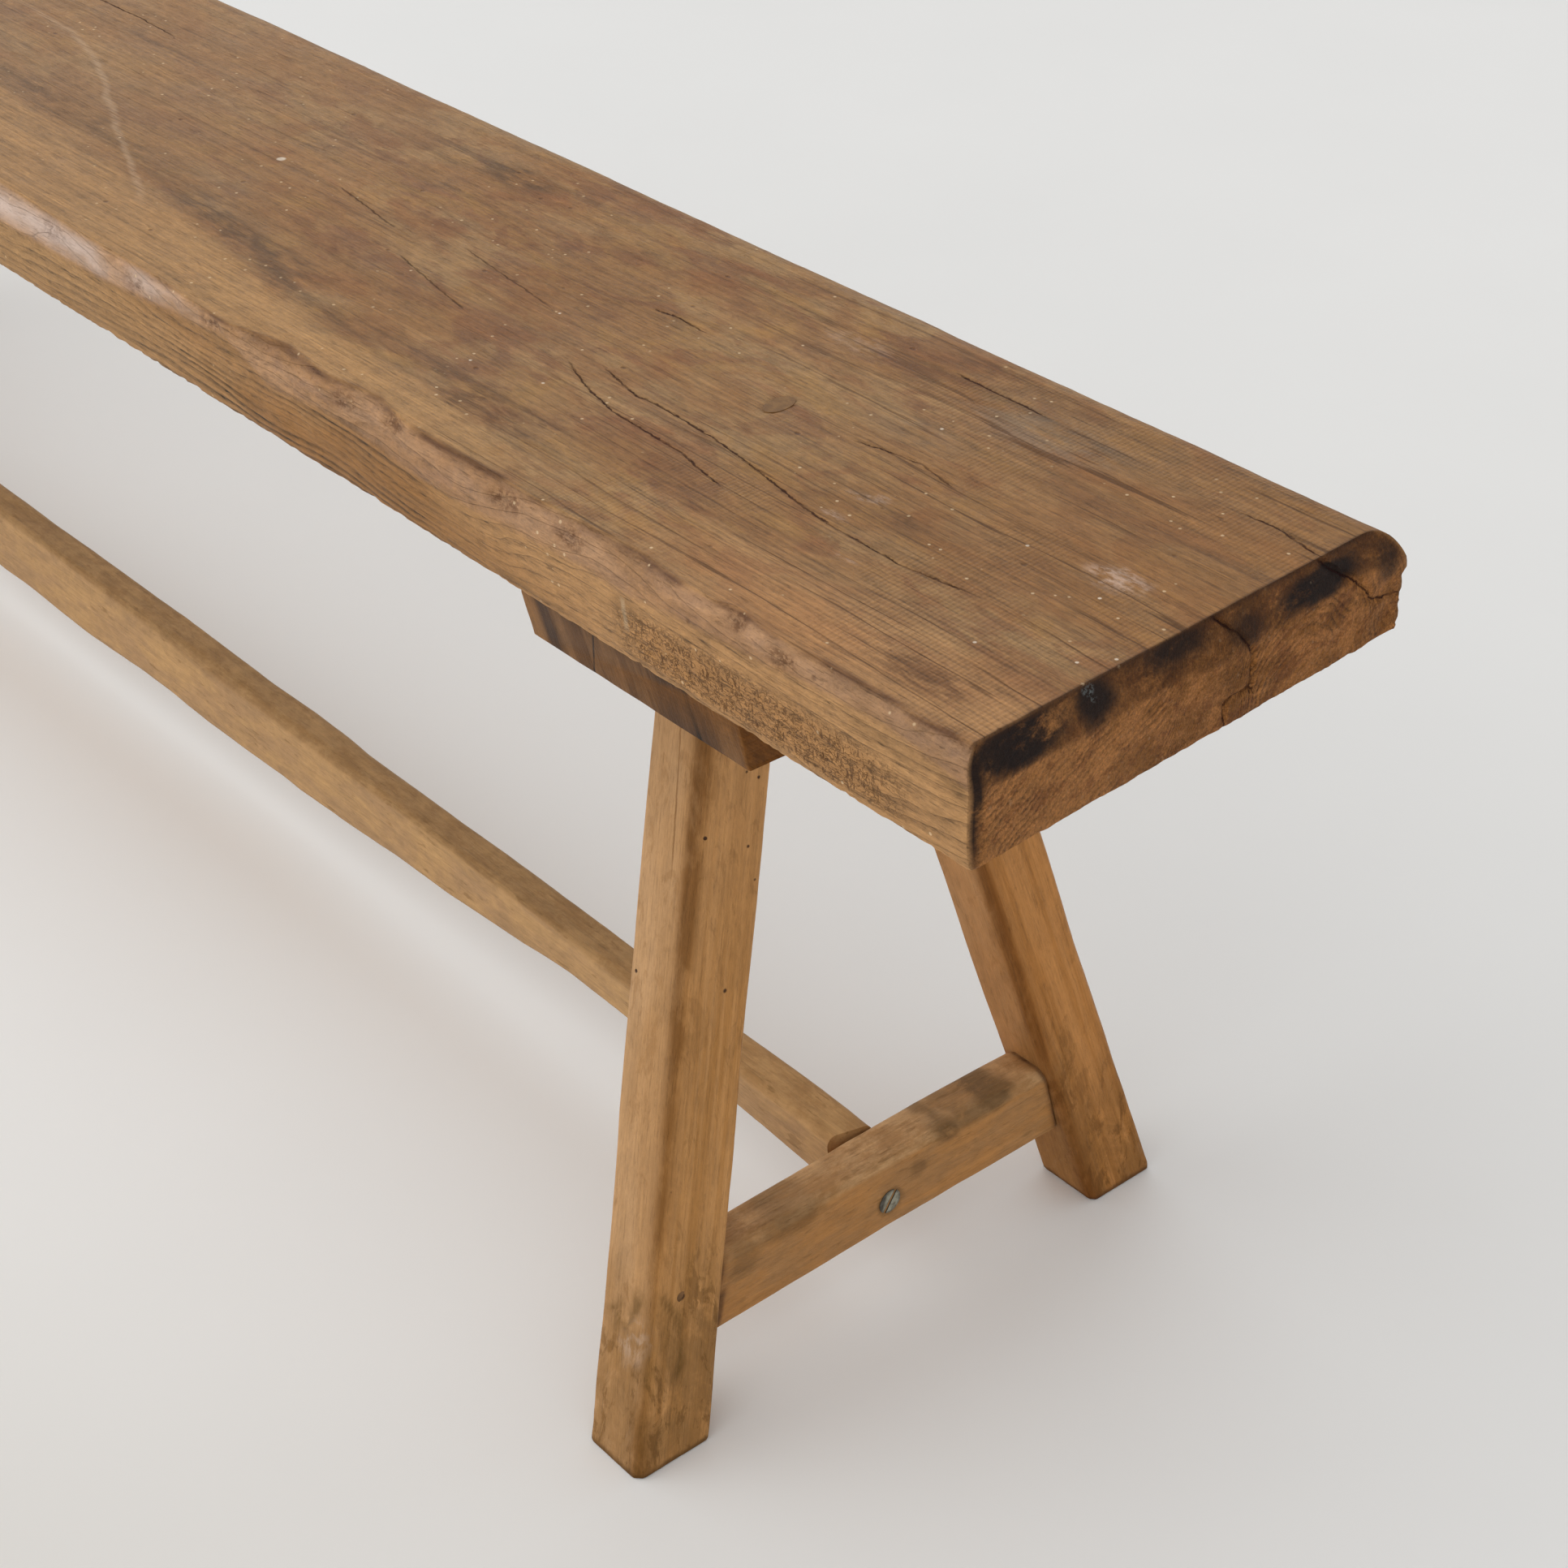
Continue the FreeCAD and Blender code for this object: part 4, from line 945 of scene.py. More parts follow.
def seat_material():
    g = Graph("seat_wood_mat")
    Q = g.attr_vec("wq")
    W = wood(g, Q, (68.0, 398.0), 3.1, wander=7.0, seed=1.0)
    x, y, z = W["x"], W["a"], W["b"]
    front, facet, endf = g.attr("front"), g.attr("facet"), g.attr("endf")
    near = g.step(x, 480.0, 800.0)
    # --- top: fibres, rings that darken towards the right-hand end, brown patches
    mottle = g.noise(g.stretch(Q, 0.075, 0.16, 0.16, (7.0, 3.0, 5.0)), 1.0, 6.0, 0.74, 0.5)
    grain = g.noise(g.stretch(Q, 0.40, 0.75, 0.75, (2.0, 3.0, 8.0)), 1.0, 3.0, 0.72)
    tone = (1.0 + (W["streak"] - 0.5) * 0.72 + (W["fibre"] - 0.5) * 0.85 - W["rings"] * (near * 0.09 + 0.04)
            - W["pores"] * 0.13 + (W["cloud"] - 0.5) * 0.40 + (mottle - 0.5) * 0.95 + (grain - 0.5) * 0.55)
    base = g.mix(g.step(W["patch"], 0.40, 0.60), alb(146, 108, 71), alb(158, 124, 86))
    base = g.mix(g.step(W["cloud"], 0.50, 0.66) * 0.62, base, alb(133, 95, 65))
    red = g.noise(g.stretch(Q, 0.016, 0.036, 0.036, (11.0, 4.0, 2.0)), 1.0, 4.0, 0.62, 0.7)
    base = g.mix(g.step(red, 0.53, 0.62) * 0.55, base, alb(128, 88, 62))
    rust = g.noise(g.stretch(Q, 0.013, 0.030, 0.030, (1.0, 14.0, 2.0)), 1.0, 5.0, 0.68, 0.9)
    base = g.mix(g.step(rust, 0.50, 0.62) * 0.42, base, alb(122, 84, 60))
    base = g.mix(g.step(rust, 0.47, 0.38) * 0.5, base, alb(158, 120, 74))
    base = g.mix(g.step(x, 640.0, 830.0) * g.step(y, -70.0, -10.0) * 0.6, base, alb(138, 98, 62))
    base = g.mix(g.step(x, 640.0, 800.0) * g.step(y, -60.0, -100.0) * 0.6, base, alb(178, 131, 88))
    base = g.mix(g.attr("honey") * 0.82, base, alb(176, 135, 90))
    base = g.mix(g.attr("left") * 0.5, base, alb(158, 124, 90))
    sn = g.noise(g.stretch(Q, 0.035, 0.12, 0.12, (3.0, 1.0, 4.0)), 1.0, 4.0, 0.68, 0.4)
    stain = g.attr("stain") * g.step(sn, 0.34, 0.58)
    base = g.mix(stain * 0.85, base, g.mix(g.step(x, 380.0, 620.0), alb(90, 70, 54), alb(100, 70, 50)))
    blotch = g.noise(g.stretch(Q, 0.12, 0.2, 0.2, (2.0, 7.0, 4.0)), 1.0, 4.0, 0.7)
    base = g.mix(g.attr("pale") * g.step(blotch, 0.40, 0.62) * 0.75, base, alb(190, 162, 144))
    base = g.mix(g.attr("grey") * g.step(sn, 0.36, 0.62) * 0.55, base, alb(128, 114, 98))
    ribs = g.math("SINE", (x + y * 0.06) * 2.6) * g.attr("ribs")
    top = g.tone(base, tone + ribs * 0.085)
    # long dark hairlines along the grain
    h1 = g.math("FRACT", W["radius"] / 9.3 + (W["streak"] - 0.5) * 0.8)
    hl = g.step(g.math("ABSOLUTE", h1 - 0.5), 0.055, 0.012)
    hm = g.noise(g.stretch(Q, 0.007, 0.06, 0.06, (5.0, 5.0, 5.0)), 1.0, 2.0, 0.5)
    hl = hl * g.step(hm, 0.44, 0.56) * (near * 0.6 + 0.4)
    top = g.mix(hl * 0.74, top, alb(88, 62, 42))
    # --- front face and waney facet: long waving rings
    sway = g.noise(g.stretch(Q, 0.0046, 0.02, 0.016, (4.0, 9.0, 2.0)), 1.0, 2.0, 0.45)
    rip = g.noise(g.stretch(Q, 0.020, 0.06, 0.06, (2.0, 5.0, 8.0)), 1.0, 2.0, 0.5)
    rf = z * 1.05 + (sway - 0.5) * 70.0 + (rip - 0.5) * 8.0 + y * 0.25
    rstr = g.noise(g.stretch(Q, 0.008, 0.05, 0.05, (8.0, 1.0, 3.0)), 1.0, 2.0, 0.5)
    rstr = g.step(rstr, 0.36, 0.64)
    rings_f = ring_lines(g, rf, 6.4, 0.25)
    crumbs = g.noise(g.stretch(Q, 0.20, 0.34, 0.34, (9.0, 9.0, 1.0)), 1.0, 4.0, 0.66, 0.4)
    ticks = g.noise(g.stretch(Q, 0.75, 0.4, 0.20, (3.0, 9.0, 1.0)), 1.0, 3.0, 0.62)
    fmott = g.noise(g.stretch(Q, 0.10, 0.2, 0.2, (9.0, 2.0, 5.0)), 1.0, 6.0, 0.74, 0.5)
    fine_f = g.noise(g.stretch(Q, 0.35, 0.8, 0.8, (9.0, 2.0, 9.0)), 1.0, 3.0, 0.72)
    dash = g.noise(g.stretch(Q, 0.10, 0.75, 0.75, (1.0, 9.0, 6.0)), 1.0, 3.0, 0.6)
    fcloud = g.noise(g.stretch(Q, 0.018, 0.05, 0.05, (2.0, 8.0, 6.0)), 1.0, 4.0, 0.62, 0.6)
    mid = g.step(g.math("ABSOLUTE", x - 480.0), 190.0, 90.0)
    ftone = (1.0 + (W["fibre"] - 0.5) * 0.75 - rings_f * (rstr * (0.18 + mid * 0.34) + 0.05) - g.step(dash, 0.54, 0.64) * rings_f * 0.40
             - W["pores"] * 0.12 + (fcloud - 0.5) * 0.45 + (fmott - 0.5) * 0.9 + (fine_f - 0.5) * 0.6)
    fbase = g.mix(g.step(W["patch"], 0.40, 0.60), alb(154, 112, 70), alb(170, 129, 86))
    fbase = g.mix(g.step(fcloud, 0.50, 0.64) * 0.5, fbase, alb(140, 105, 70))
    fbase = g.mix(g.step(x, 540.0, 700.0) * 0.75, fbase, alb(184, 142, 98))
    fbase = g.mix(g.attr("leftf") * 0.65, fbase, alb(176, 140, 98))
    fbase = g.mix(g.attr("grime") * g.step(fcloud, 0.34, 0.56) * 0.85, fbase, alb(104, 80, 54))
    fbase = g.mix(g.attr("rough") * 0.5, fbase, alb(172, 124, 76))
    fcol = g.tone(fbase, ftone)
    # painted sheen: lighter patches on the facet's wood stand for highlights; the same noise also gives the facet its
    # relief
    sheen_and_relief_noise = g.noise(g.stretch(Q, 0.020, 0.07, 0.07, (6.0, 2.0, 1.0)), 1.0, 4.0, 0.6, 0.5)
    facet_wood_and_sheen = g.mix(g.step(sheen_and_relief_noise, 0.40, 0.60), alb(158, 119, 82), alb(182, 141, 104))
    facet_wood_and_sheen = g.mix(g.step(x, 430.0, 620.0) * 0.50, facet_wood_and_sheen, alb(146, 110, 84))
    mauve = g.step(g.noise(g.stretch(Q, 0.05, 0.12, 0.12, (1.0, 1.0, 9.0)), 1.0, 4.0, 0.68), 0.50, 0.62)
    facet_wood_and_sheen = g.mix(mauve * 0.5, facet_wood_and_sheen, alb(140, 108, 88))
    wcol = g.tone(facet_wood_and_sheen, 1.0 + (W["fibre"] - 0.5) * 0.6 + (fcloud - 0.5) * 1.0 + (fmott - 0.5) * 1.3 + (fine_f - 0.5) * 0.5)
    # painted reflection: the facet's sheen band painted in pale lavender
    wcol = g.mix(g.attr("painted_sheen_band") * (g.step(sheen_and_relief_noise, 0.30, 0.55) * 0.4 + 0.5), wcol, g.tone(alb(205, 184, 172), 1.0 + (W["fibre"] - 0.5) * 0.5))
    fcol = g.mix(facet * (0.94 - g.step(x, 330.0, 430.0) * 0.22), fcol, wcol)
    pitn = g.noise(g.stretch(Q, 0.25, 0.35, 0.35), 1.0, 4.0, 0.7)
    fcol = g.mix(g.attr("pit") * g.step(pitn, 0.40, 0.60) * (g.step(x, 300.0, 380.0) * 0.4 + 0.4), fcol, alb(108, 76, 54))
    net = g.step(g.math("ABSOLUTE", crumbs - 0.5), 0.022, 0.006)
    holes = g.math("MAXIMUM", net * 0.8, g.step(ticks, 0.58, 0.66)) * g.attr("rough")
    fcol = g.mix(holes * 0.74, fcol, alb(92, 60, 36))
    drip = g.step(g.math("ABSOLUTE", x - 705.0 + (blotch - 0.5) * 3.0), 2.0, 0.6) * g.attr("drip")
    fcol = g.mix(drip * 0.5, fcol, alb(196, 172, 140))
    col = g.mix(front, top, fcol)
    # --- end grain
    dy, dz = y - 62.0, z - 400.0
    rr = g.math("SQRT", dy * dy + dz * dz)
    wob = g.noise(g.stretch(Q, 0.0, 0.045, 0.045, (1.0, 2.0, 3.0)), 1.0, 3.0, 0.5)
    ey, ez = y - 42.0, z - 215.0
    near_pith = g.step(y, -25.0, 30.0)
    re = rr * near_pith + g.math("SQRT", ey * ey + ez * ez) * (1.0 - near_pith) + (wob - 0.5) * 14.0
    er = ring_lines(g, re, 3.3, 0.25)
    estr = g.step(g.noise(g.stretch(Q, 0.0, 0.03, 0.03, (4.0, 4.0, 9.0)), 1.0, 2.0, 0.5), 0.40, 0.62)
    fleck = g.noise(g.stretch(Q, 0.3, 0.85, 0.85, (2.0, 2.0, 2.0)), 1.0, 4.0, 0.72)
    ecloud = g.noise(g.stretch(Q, 0.02, 0.04, 0.07, (8.0, 3.0, 2.0)), 1.0, 6.0, 0.78, 0.15)
    hatch = g.noise(g.vec(x * 0.1, y * 0.05 + z * 0.035, z * 0.75 - y * 0.5), 1.0, 3.0, 0.68)
    ebase = g.mix(g.step(ecloud, 0.40, 0.60), alb(134, 90, 52, 1.10), alb(170, 116, 70, 1.10))
    ebase = g.mix(g.step(y, -20.0, -70.0) * 0.6, ebase, alb(178, 124, 76, 1.1))
    etone = 1.05 - er * (estr * 0.32 + 0.08) + (fleck - 0.5) * 2.1 + (hatch - 0.5) * 0.55 + (ecloud - 0.5) * 0.3
    rust_e = g.noise(g.stretch(Q, 0.03, 0.07, 0.10, (4.0, 3.0, 11.0)), 1.0, 6.0, 0.78, 0.3)
    ebase = g.mix(g.step(rust_e, 0.50, 0.60) * 0.55, ebase, alb(118, 74, 48, 1.05))
    ecol = g.tone(ebase, etone)
    scuff = g.step(g.noise(g.stretch(Q, 0.2, 0.34, 0.34, (6.0, 1.0, 7.0)), 1.0, 4.0, 0.75), 0.60, 0.70)
    ecol = g.mix(scuff * 0.35, ecol, alb(190, 150, 112))
    band = g.attr("bevel")
    dn = g.noise(g.stretch(Q, 0.06, 0.05, 0.10, (1.0, 7.0, 5.0)), 1.0, 6.0, 0.76, 0.2)
    ecol = g.mix(band * g.step(dn, 0.28, 0.56) * 0.88, ecol, g.tone(alb(86, 58, 40), 1.0 + (fleck - 0.5) * 1.8))
    ecol = g.mix(g.attr("smut") * g.step(dn, 0.20, 0.46) * 0.93, ecol, g.tone(alb(43, 31, 25), 1.0 + (fleck - 0.5) * 1.4))
    blue = spots(g, Q, [(890.0, -62.0, 448.0, 3.6), (891.0, -60.5, 443.5, 2.2)], 3.0)
    ecol = g.mix(blue * g.step(fleck, 0.46, 0.60) * 0.5, ecol, alb(140, 150, 150))
    col = g.mix(endf, col, ecol)
    # the sawn line where the top meets the bevel is dark and crisp
    col = g.mix(g.attr("arris") * 0.85, col, alb(74, 52, 36))
    col = g.mix(g.attr("lip") * 0.85, col, alb(74, 48, 34))
    # --- cracks, scratch, specks
    wobble = (g.noise(g.stretch(Q, 0.22, 0.30, 0.30), 1.0, 4.0, 0.68) - 0.5) * 3.0
    ca = g.math("ABSOLUTE", g.attr("crka") + wobble)
    cb = g.math("ABSOLUTE", g.attr("crkb") + wobble)
    width = g.noise(g.stretch(Q, 0.07, 0.07, 0.07, (5.0, 5.0, 5.0)), 1.0, 2.0, 0.6)
    ma = g.math("MULTIPLY", g.step(ca, 0.66, 0.08), g.attr("crka_w"), clamp=True)
    mb = g.math("MULTIPLY", g.step(cb, 0.68, 0.08), g.attr("crkb_w"), clamp=True)
    crack = g.math("MULTIPLY", g.math("MAXIMUM", ma, mb), g.step(width, 0.32, 0.54) * 0.6 + 0.4, clamp=True)
    col = g.mix(crack * 0.86, col, alb(58, 38, 24))
    sc = g.step(g.math("ABSOLUTE", g.attr("scr") + (g.noise(g.stretch(Q, 0.05, 0.05, 0.05), 1.0, 3.0, 0.6) - 0.5) * 7.0), 3.2, 0.3) * g.attr("scr_w")
    col = g.mix(sc * g.step(W["fibre"], 0.34, 0.6) * 0.36, col, alb(200, 170, 140))
    dist, _c = g.cells(g.stretch(Q, 0.105, 0.105, 0.105), 1.0)
    speck = g.step(dist, 0.10, 0.055) * g.step(g.noise(g.stretch(Q, 0.012, 0.02, 0.02, (2.0, 6.0, 1.0)), 1.0, 2.0, 0.5), 0.42, 0.56)
    col = g.mix(speck * (1.0 - endf * 0.8) * 0.75, col, alb(216, 188, 150))
    white = spots(g, Q, [(842.5, -72.2, 450), (877.3, -54.2, 450), (801.7, -5, 450), (849.4, -13.8, 450), (885, -41.6, 450), (257, -1.9, 450, 2.6),
                         (560, -60, 450), (520, -70, 450), (505, -10, 450, 0.8), (705, 40, 450, 0.9)], 0.85)
    col = g.mix(white * 0.8, col, alb(222, 205, 184))
    dists, _c = g.cells(g.stretch(Q, 0.030, 0.040, 0.03, (3.0, 3.0, 3.0)), 1.0)
    nick = g.step(dists, 0.060, 0.02) * (1.0 - endf)
    col = g.mix(nick * 0.5, col, alb(76, 50, 34))
    col = g.mix(g.attr("rim") * 0.5, col, alb(88, 62, 42))
    # --- surface
    h = ((W["fibre"] - 0.5) * 1.1 - W["pores"] * 0.7 - W["rings"] * 0.3 * (1.0 - front) - rings_f * 0.9 * front - crack * 2.5 - holes * 3.0 - hl * 0.8 * (1.0 - front)
         + (grain - 0.5) * 0.9 * (1.0 - front) + (mottle - 0.5) * 0.8 * (1.0 - front) + (fine_f - 0.5) * 1.2 * front + (fmott - 0.5) * 1.2 * front
         + (fleck - 0.5) * 2.8 * endf + (hatch - 0.5) * 1.6 * endf - er * endf * 0.6 - nick * 1.0 + (pitn - 0.5) * 3.2 * g.attr("pit") + (sheen_and_relief_noise - 0.5) * 2.4 * facet + ribs * 0.12)
    rgh = 0.56 - facet * 0.10 + endf * 0.14 + (W["cloud"] - 0.5) * 0.3 + crack * 0.3
    return g.finish(col, rgh, g.bump(h, 0.85, 0.8), specular=0.22)


def leg_material(name, seed, holes=(), shade=(1.0, 1.0, 1.0)):
    g = Graph(name)
    Q = g.attr_vec("wq")
    P_ = g.place()
    W = wood(g, Q, (64.0, -70.0), 4.6, wander=9.0, seed=float(seed) + 3.0, fine=1.0)
    def t(r, g_, b, k=1.0):
        return alb(r * shade[0], g_ * shade[1], b * shade[2], k)

    x, y, z = g.sep(P_)
    dash = g.step(g.noise(g.stretch(Q, 0.09, 1.1, 1.1, (2.0, seed, 4.0)), 1.0, 3.0, 0.62), 0.57, 0.68)
    mott = g.noise(g.stretch(P_, 0.09, 0.09, 0.050, (5.0, seed, 2.0)), 1.0, 6.0, 0.74, 0.5)
    fine = g.noise(g.stretch(Q, 0.25, 0.9, 0.9, (5.0, seed, 8.0)), 1.0, 3.0, 0.7)
    tone = (1.0 + (W["streak"] - 0.5) * 0.30 + (W["fibre"] - 0.5) * 0.42 - dash * 0.09 - W["pores"] * 0.05
            + (W["cloud"] - 0.5) * 0.26 + (mott - 0.5) * 0.50 + (fine - 0.5) * 0.28)
    base = g.mix(g.step(W["patch"], 0.38, 0.62), t(173, 133, 92), t(184, 146, 107))
    base = g.mix(g.attr("xface") * 0.85, base, g.mix(g.step(W["streak"], 0.36, 0.62), t(178, 127, 73), t(194, 144, 92)))
    # painted light: the +X faces lightened from 180 to 330 mm up, against the shade under the seat
    base = g.mix(g.attr("xface") * g.step(z, 180.0, 330.0) * 0.55, base, t(214, 164, 112))
    low = g.attr("dark")
    grime = g.noise(g.stretch(P_, 0.045, 0.045, 0.030, (seed, 1.0, 2.0)), 1.0, 5.0, 0.70, 0.5)
    smear = g.noise(g.stretch(P_, 0.11, 0.11, 0.045, (3.0, seed, 2.0)), 1.0, 5.0, 0.70, 0.5)
    base = g.mix(low * g.step(grime, 0.26, 0.56) * 0.80, base, t(134, 100, 64))
    base = g.mix(low * g.step(smear, 0.52, 0.62) * 0.62, base, t(96, 70, 42))
    base = g.mix(low * g.step(grime, 0.56, 0.68) * 0.28, base, t(168, 134, 100))
    # faint soiling all over
    base = g.mix(g.step(smear, 0.54, 0.64) * 0.30, base, t(146, 106, 66))
    # painted shade along the legs' corner flat
    edge = g.attr("edge")
    en = g.noise(g.stretch(P_, 0.10, 0.10, 0.022, (4.0, seed, 2.0)), 1.0, 4.0, 0.65)
    base = g.mix(edge * (g.step(en, 0.30, 0.56) * 0.35 + 0.45), base, t(110, 74, 42))
    base = g.mix(g.attr("pale") * g.step(smear, 0.40, 0.58) * 0.6, base, t(186, 160, 138))
    # the lowest few mm of the leg, at the sole's edge, are darker
    sole = g.step(z + (smear - 0.5) * 6.0, 4.2, 1.2)
    base = g.mix(sole * 0.7, base, t(84, 60, 36))
    col = g.tone(base, tone)
    h = (W["fibre"] - 0.5) * 1.0 - W["pores"] * 0.4 - dash * 0.6 - W["rings"] * 0.12 + (smear - 0.5) * 0.6 + (mott - 0.5) * 1.0 + (fine - 0.5) * 0.5
    ck = g.step(g.math("ABSOLUTE", g.attr("crk") + (g.noise(g.stretch(P_, 0.3, 0.3, 0.3), 1.0, 2.0, 0.6) - 0.5) * 0.9), 0.7, 0.1) * g.attr("crk_w")
    col = g.mix(ck * 0.5, col, alb(112, 76, 42))
    h = h - ck * 1.2
    line = g.attr("stainline") * g.step(smear, 0.30, 0.52)
    col = g.mix(line * 0.70, col, alb(94, 70, 40))
    if holes:
        m = spots(g, P_, holes, 0.95)
        col = g.mix(m * 0.9, col, alb(50, 30, 16))
        h = h - m * 3.0
    rgh = 0.60 + (W["cloud"] - 0.5) * 0.2 + low * 0.1
    return g.finish(col, rgh, g.bump(h, 0.6, 0.5), specular=0.18)


def rail_material(name, seed, face_a, face_b, top_a, top_b, ring=False):
    g = Graph(name)
    Q = g.attr_vec("wq")
    W = wood(g, Q, (-46.0, -54.0), 5.0, wander=8.0, seed=float(seed), fine=0.9)
    blot = g.noise(g.stretch(Q, 0.020, 0.055, 0.055, (seed, 3.0, 1.0)), 1.0, 5.0, 0.68, 0.4)
    blot2 = g.noise(g.stretch(Q, 0.040, 0.08, 0.08, (1.0, seed, 7.0)), 1.0, 6.0, 0.74, 0.3)
    dash = g.step(g.noise(g.stretch(Q, 0.09, 0.9, 0.9, (2.0, seed, 4.0)), 1.0, 3.0, 0.62), 0.56, 0.68)
    mott = g.noise(g.stretch(Q, 0.09, 0.16, 0.16, (5.0, seed, 2.0)), 1.0, 6.0, 0.74, 0.4)
    tone = 1.0 + (W["streak"] - 0.5) * 0.30 + (W["fibre"] - 0.5) * 0.46 - dash * 0.08 + (blot2 - 0.5) * 0.25 + (mott - 0.5) * 0.7
    if not ring:
        px, py, pz = g.sep(g.place())
        tone = tone + g.step(px, 480.0, 640.0) * g.attr("top") * 0.36
    face = g.mix(g.step(blot, 0.38, 0.62), face_a, face_b)
    top = g.mix(g.step(blot2, 0.38, 0.62), top_a, top_b)
    base = g.mix(g.attr("top"), face, top)
    h = (W["fibre"] - 0.5) * 1.0 - W["pores"] * 0.3 - dash * 0.5 + (blot2 - 0.5) * 0.9
    if ring:
        dk = g.attr("dark") * g.step(blot2, 0.30, 0.54)
        base = g.mix(dk * 0.80, base, alb(84, 64, 44))
        # the dark joint line, and beside it a painted shadow band for the joint's gap
        base = g.mix(g.attr("joint_line_and_gap_shadow") * 0.85, base, alb(62, 44, 28))
        # painted shade: a dark ring round the screw in its recess
        rg = g.attr("ring")
        base = g.mix(rg * 0.5, base, alb(100, 78, 54))
    col = g.tone(base, tone)
    nk = g.step(g.noise(g.stretch(Q, 0.05, 0.22, 0.22, (seed, 9.0, 9.0)), 1.0, 3.0, 0.6), 0.62, 0.70)
    col = g.mix(nk * 0.4, col, alb(112, 82, 50))
    rgh = 0.60 + (blot2 - 0.5) * 0.2
    return g.finish(col, rgh, g.bump(h, 0.6, 0.5), specular=0.18)


def cleat_material():
    g = Graph("cleat_wood_mat")
    Q = g.attr_vec("wq")
    W = wood(g, Q, (690.0, 430.0), 3.4, wander=5.0, seed=4.0)
    P_ = g.place()
    x, y, z = g.sep(P_)
    ax = g.math("ABSOLUTE", x)
    lean = ax + z * 0.55
    band = g.noise(g.vec(lean * 0.075, y * 0.01, z * 0.010), 1.0, 4.0, 0.62)
    fine = g.noise(g.vec(lean * 0.8, y * 0.3, z * 0.14), 1.0, 4.0, 0.66)
    mott = g.noise(g.stretch(P_, 0.12, 0.12, 0.12, (1.0, 4.0, 4.0)), 1.0, 4.0, 0.66)
    base = g.mix(g.step(band, 0.40, 0.62), alb(116, 86, 60), alb(92, 68, 50))
    base = g.mix(g.step(g.math("ABSOLUTE", lean - 942.0), 24.0, 8.0) * 0.75, base, alb(70, 56, 48))
    base = g.mix(g.step(g.math("ABSOLUTE", lean - 946.0), 2.4, 0.6) * 0.85, base, alb(34, 26, 22))
    base = g.mix(g.step(g.math("ABSOLUTE", lean - 851.5), 5.0, 2.0) * 0.7, base, alb(66, 54, 48))
    base = g.mix(g.step(lean, 848.0, 842.0) * 0.7, base, alb(140, 102, 66))
    base = g.mix(g.step(g.math("ABSOLUTE", ax - 669.5), 0.9, 0.2) * 0.8, base, alb(40, 28, 20))
    weave = g.noise(g.vec((y + z) * 0.9, (y - z) * 0.16, x * 0.1), 1.0, 3.0, 0.66)
    side = g.attr("outer")
    tone = 1.0 + (fine - 0.5) * 0.8 + (W["fibre"] - 0.5) * 0.4 + (mott - 0.5) * 0.8 + (weave - 0.5) * side * 1.2
    base = g.mix(side * 0.8, base, alb(118, 80, 46))
    col = g.tone(base, tone)
    h = (fine - 0.5) * 1.2 + (W["fibre"] - 0.5) * 0.8
    return g.finish(col, 0.52 + (band - 0.5) * 0.2, g.bump(h, 0.6, 0.5), specular=0.22)


def small_wood(name, a, b, seed):
    g = Graph(name)
    P_ = g.place()
    n1 = g.noise(g.stretch(P_, 0.25, 0.25, 0.25, (seed, 1.0, 2.0)), 1.0, 4.0, 0.6, 0.4)
    n2 = g.noise(g.stretch(P_, 0.35, 1.6, 1.6, (seed, 4.0, 2.0)), 1.0, 3.0, 0.6)
    col = g.tone(g.mix(g.step(n1, 0.36, 0.64), a, b), 1.0 + (n2 - 0.5) * 0.6)
    return g.finish(col, 0.5 + (n1 - 0.5) * 0.3, g.bump(n2, 0.4, 0.3), specular=0.25)


def steel(name, seed, slot=None):
    """Worn zinc; slot = (y, z, angle) of a head that faces +X, its slot darkened by grime and painted shade, with
    painted shade at its rim and a painted shadow crescent on its left.
    """
    g = Graph(name)
    P_ = g.place()
    n1 = g.noise(g.stretch(P_, 0.35, 0.35, 0.35, (seed, 1.0, 2.0)), 1.0, 4.0, 0.65, 0.5)
    n2 = g.noise(g.stretch(P_, 1.4, 1.4, 1.4, (seed, 5.0, 2.0)), 1.0, 3.0, 0.6)
    col = g.mix(g.step(n1, 0.40, 0.66), alb(150, 148, 132), alb(112, 106, 90))
    col = g.tone(col, 1.0 + (n2 - 0.5) * 0.5)
    if slot is not None:
        x, y, z = g.sep(P_)
        cy, cz, a = slot
        dy, dz = y - cy, z - cz
        across = dy * math.sin(a) - dz * math.cos(a)
        # painted shade: the slot, the head's rim and a crescent on its left are darkened; the slot also holds grime
        slot_grime_and_shade = g.step(g.math("ABSOLUTE", across + (n2 - 0.5) * 0.5), 1.25, 0.7)
        rim = g.step(g.math("SQRT", dy * dy + dz * dz), 5.0, 6.1)
        left = g.step(dy - dz * 0.3 + (n1 - 0.5) * 2.0, -2.6, -4.6)
        col = g.mix(g.math("MAXIMUM", slot_grime_and_shade, g.math("MAXIMUM", rim * 0.45, left * 0.75)), col, alb(44, 38, 30))
    return g.finish(col, 0.48 + (n2 - 0.5) * 0.3, g.bump(n2, 0.5, 0.2), metallic=0.25, specular=0.4)


def paint(ob, mat):
    ob.data.materials.clear()
    ob.data.materials.append(mat)


def add_attr(ob, name, values):
    at = ob.data.attributes.get(name) or ob.data.attributes.new(name, "FLOAT", "POINT")
    at.data.foreach_set("value", np.asarray(values, np.float32))


def points_of(ob):
    co = np.zeros(len(ob.data.vertices) * 3, np.float32)
    ob.data.vertices.foreach_get("co", co)
    return co.reshape(-1, 3).astype(float) * 1000.0


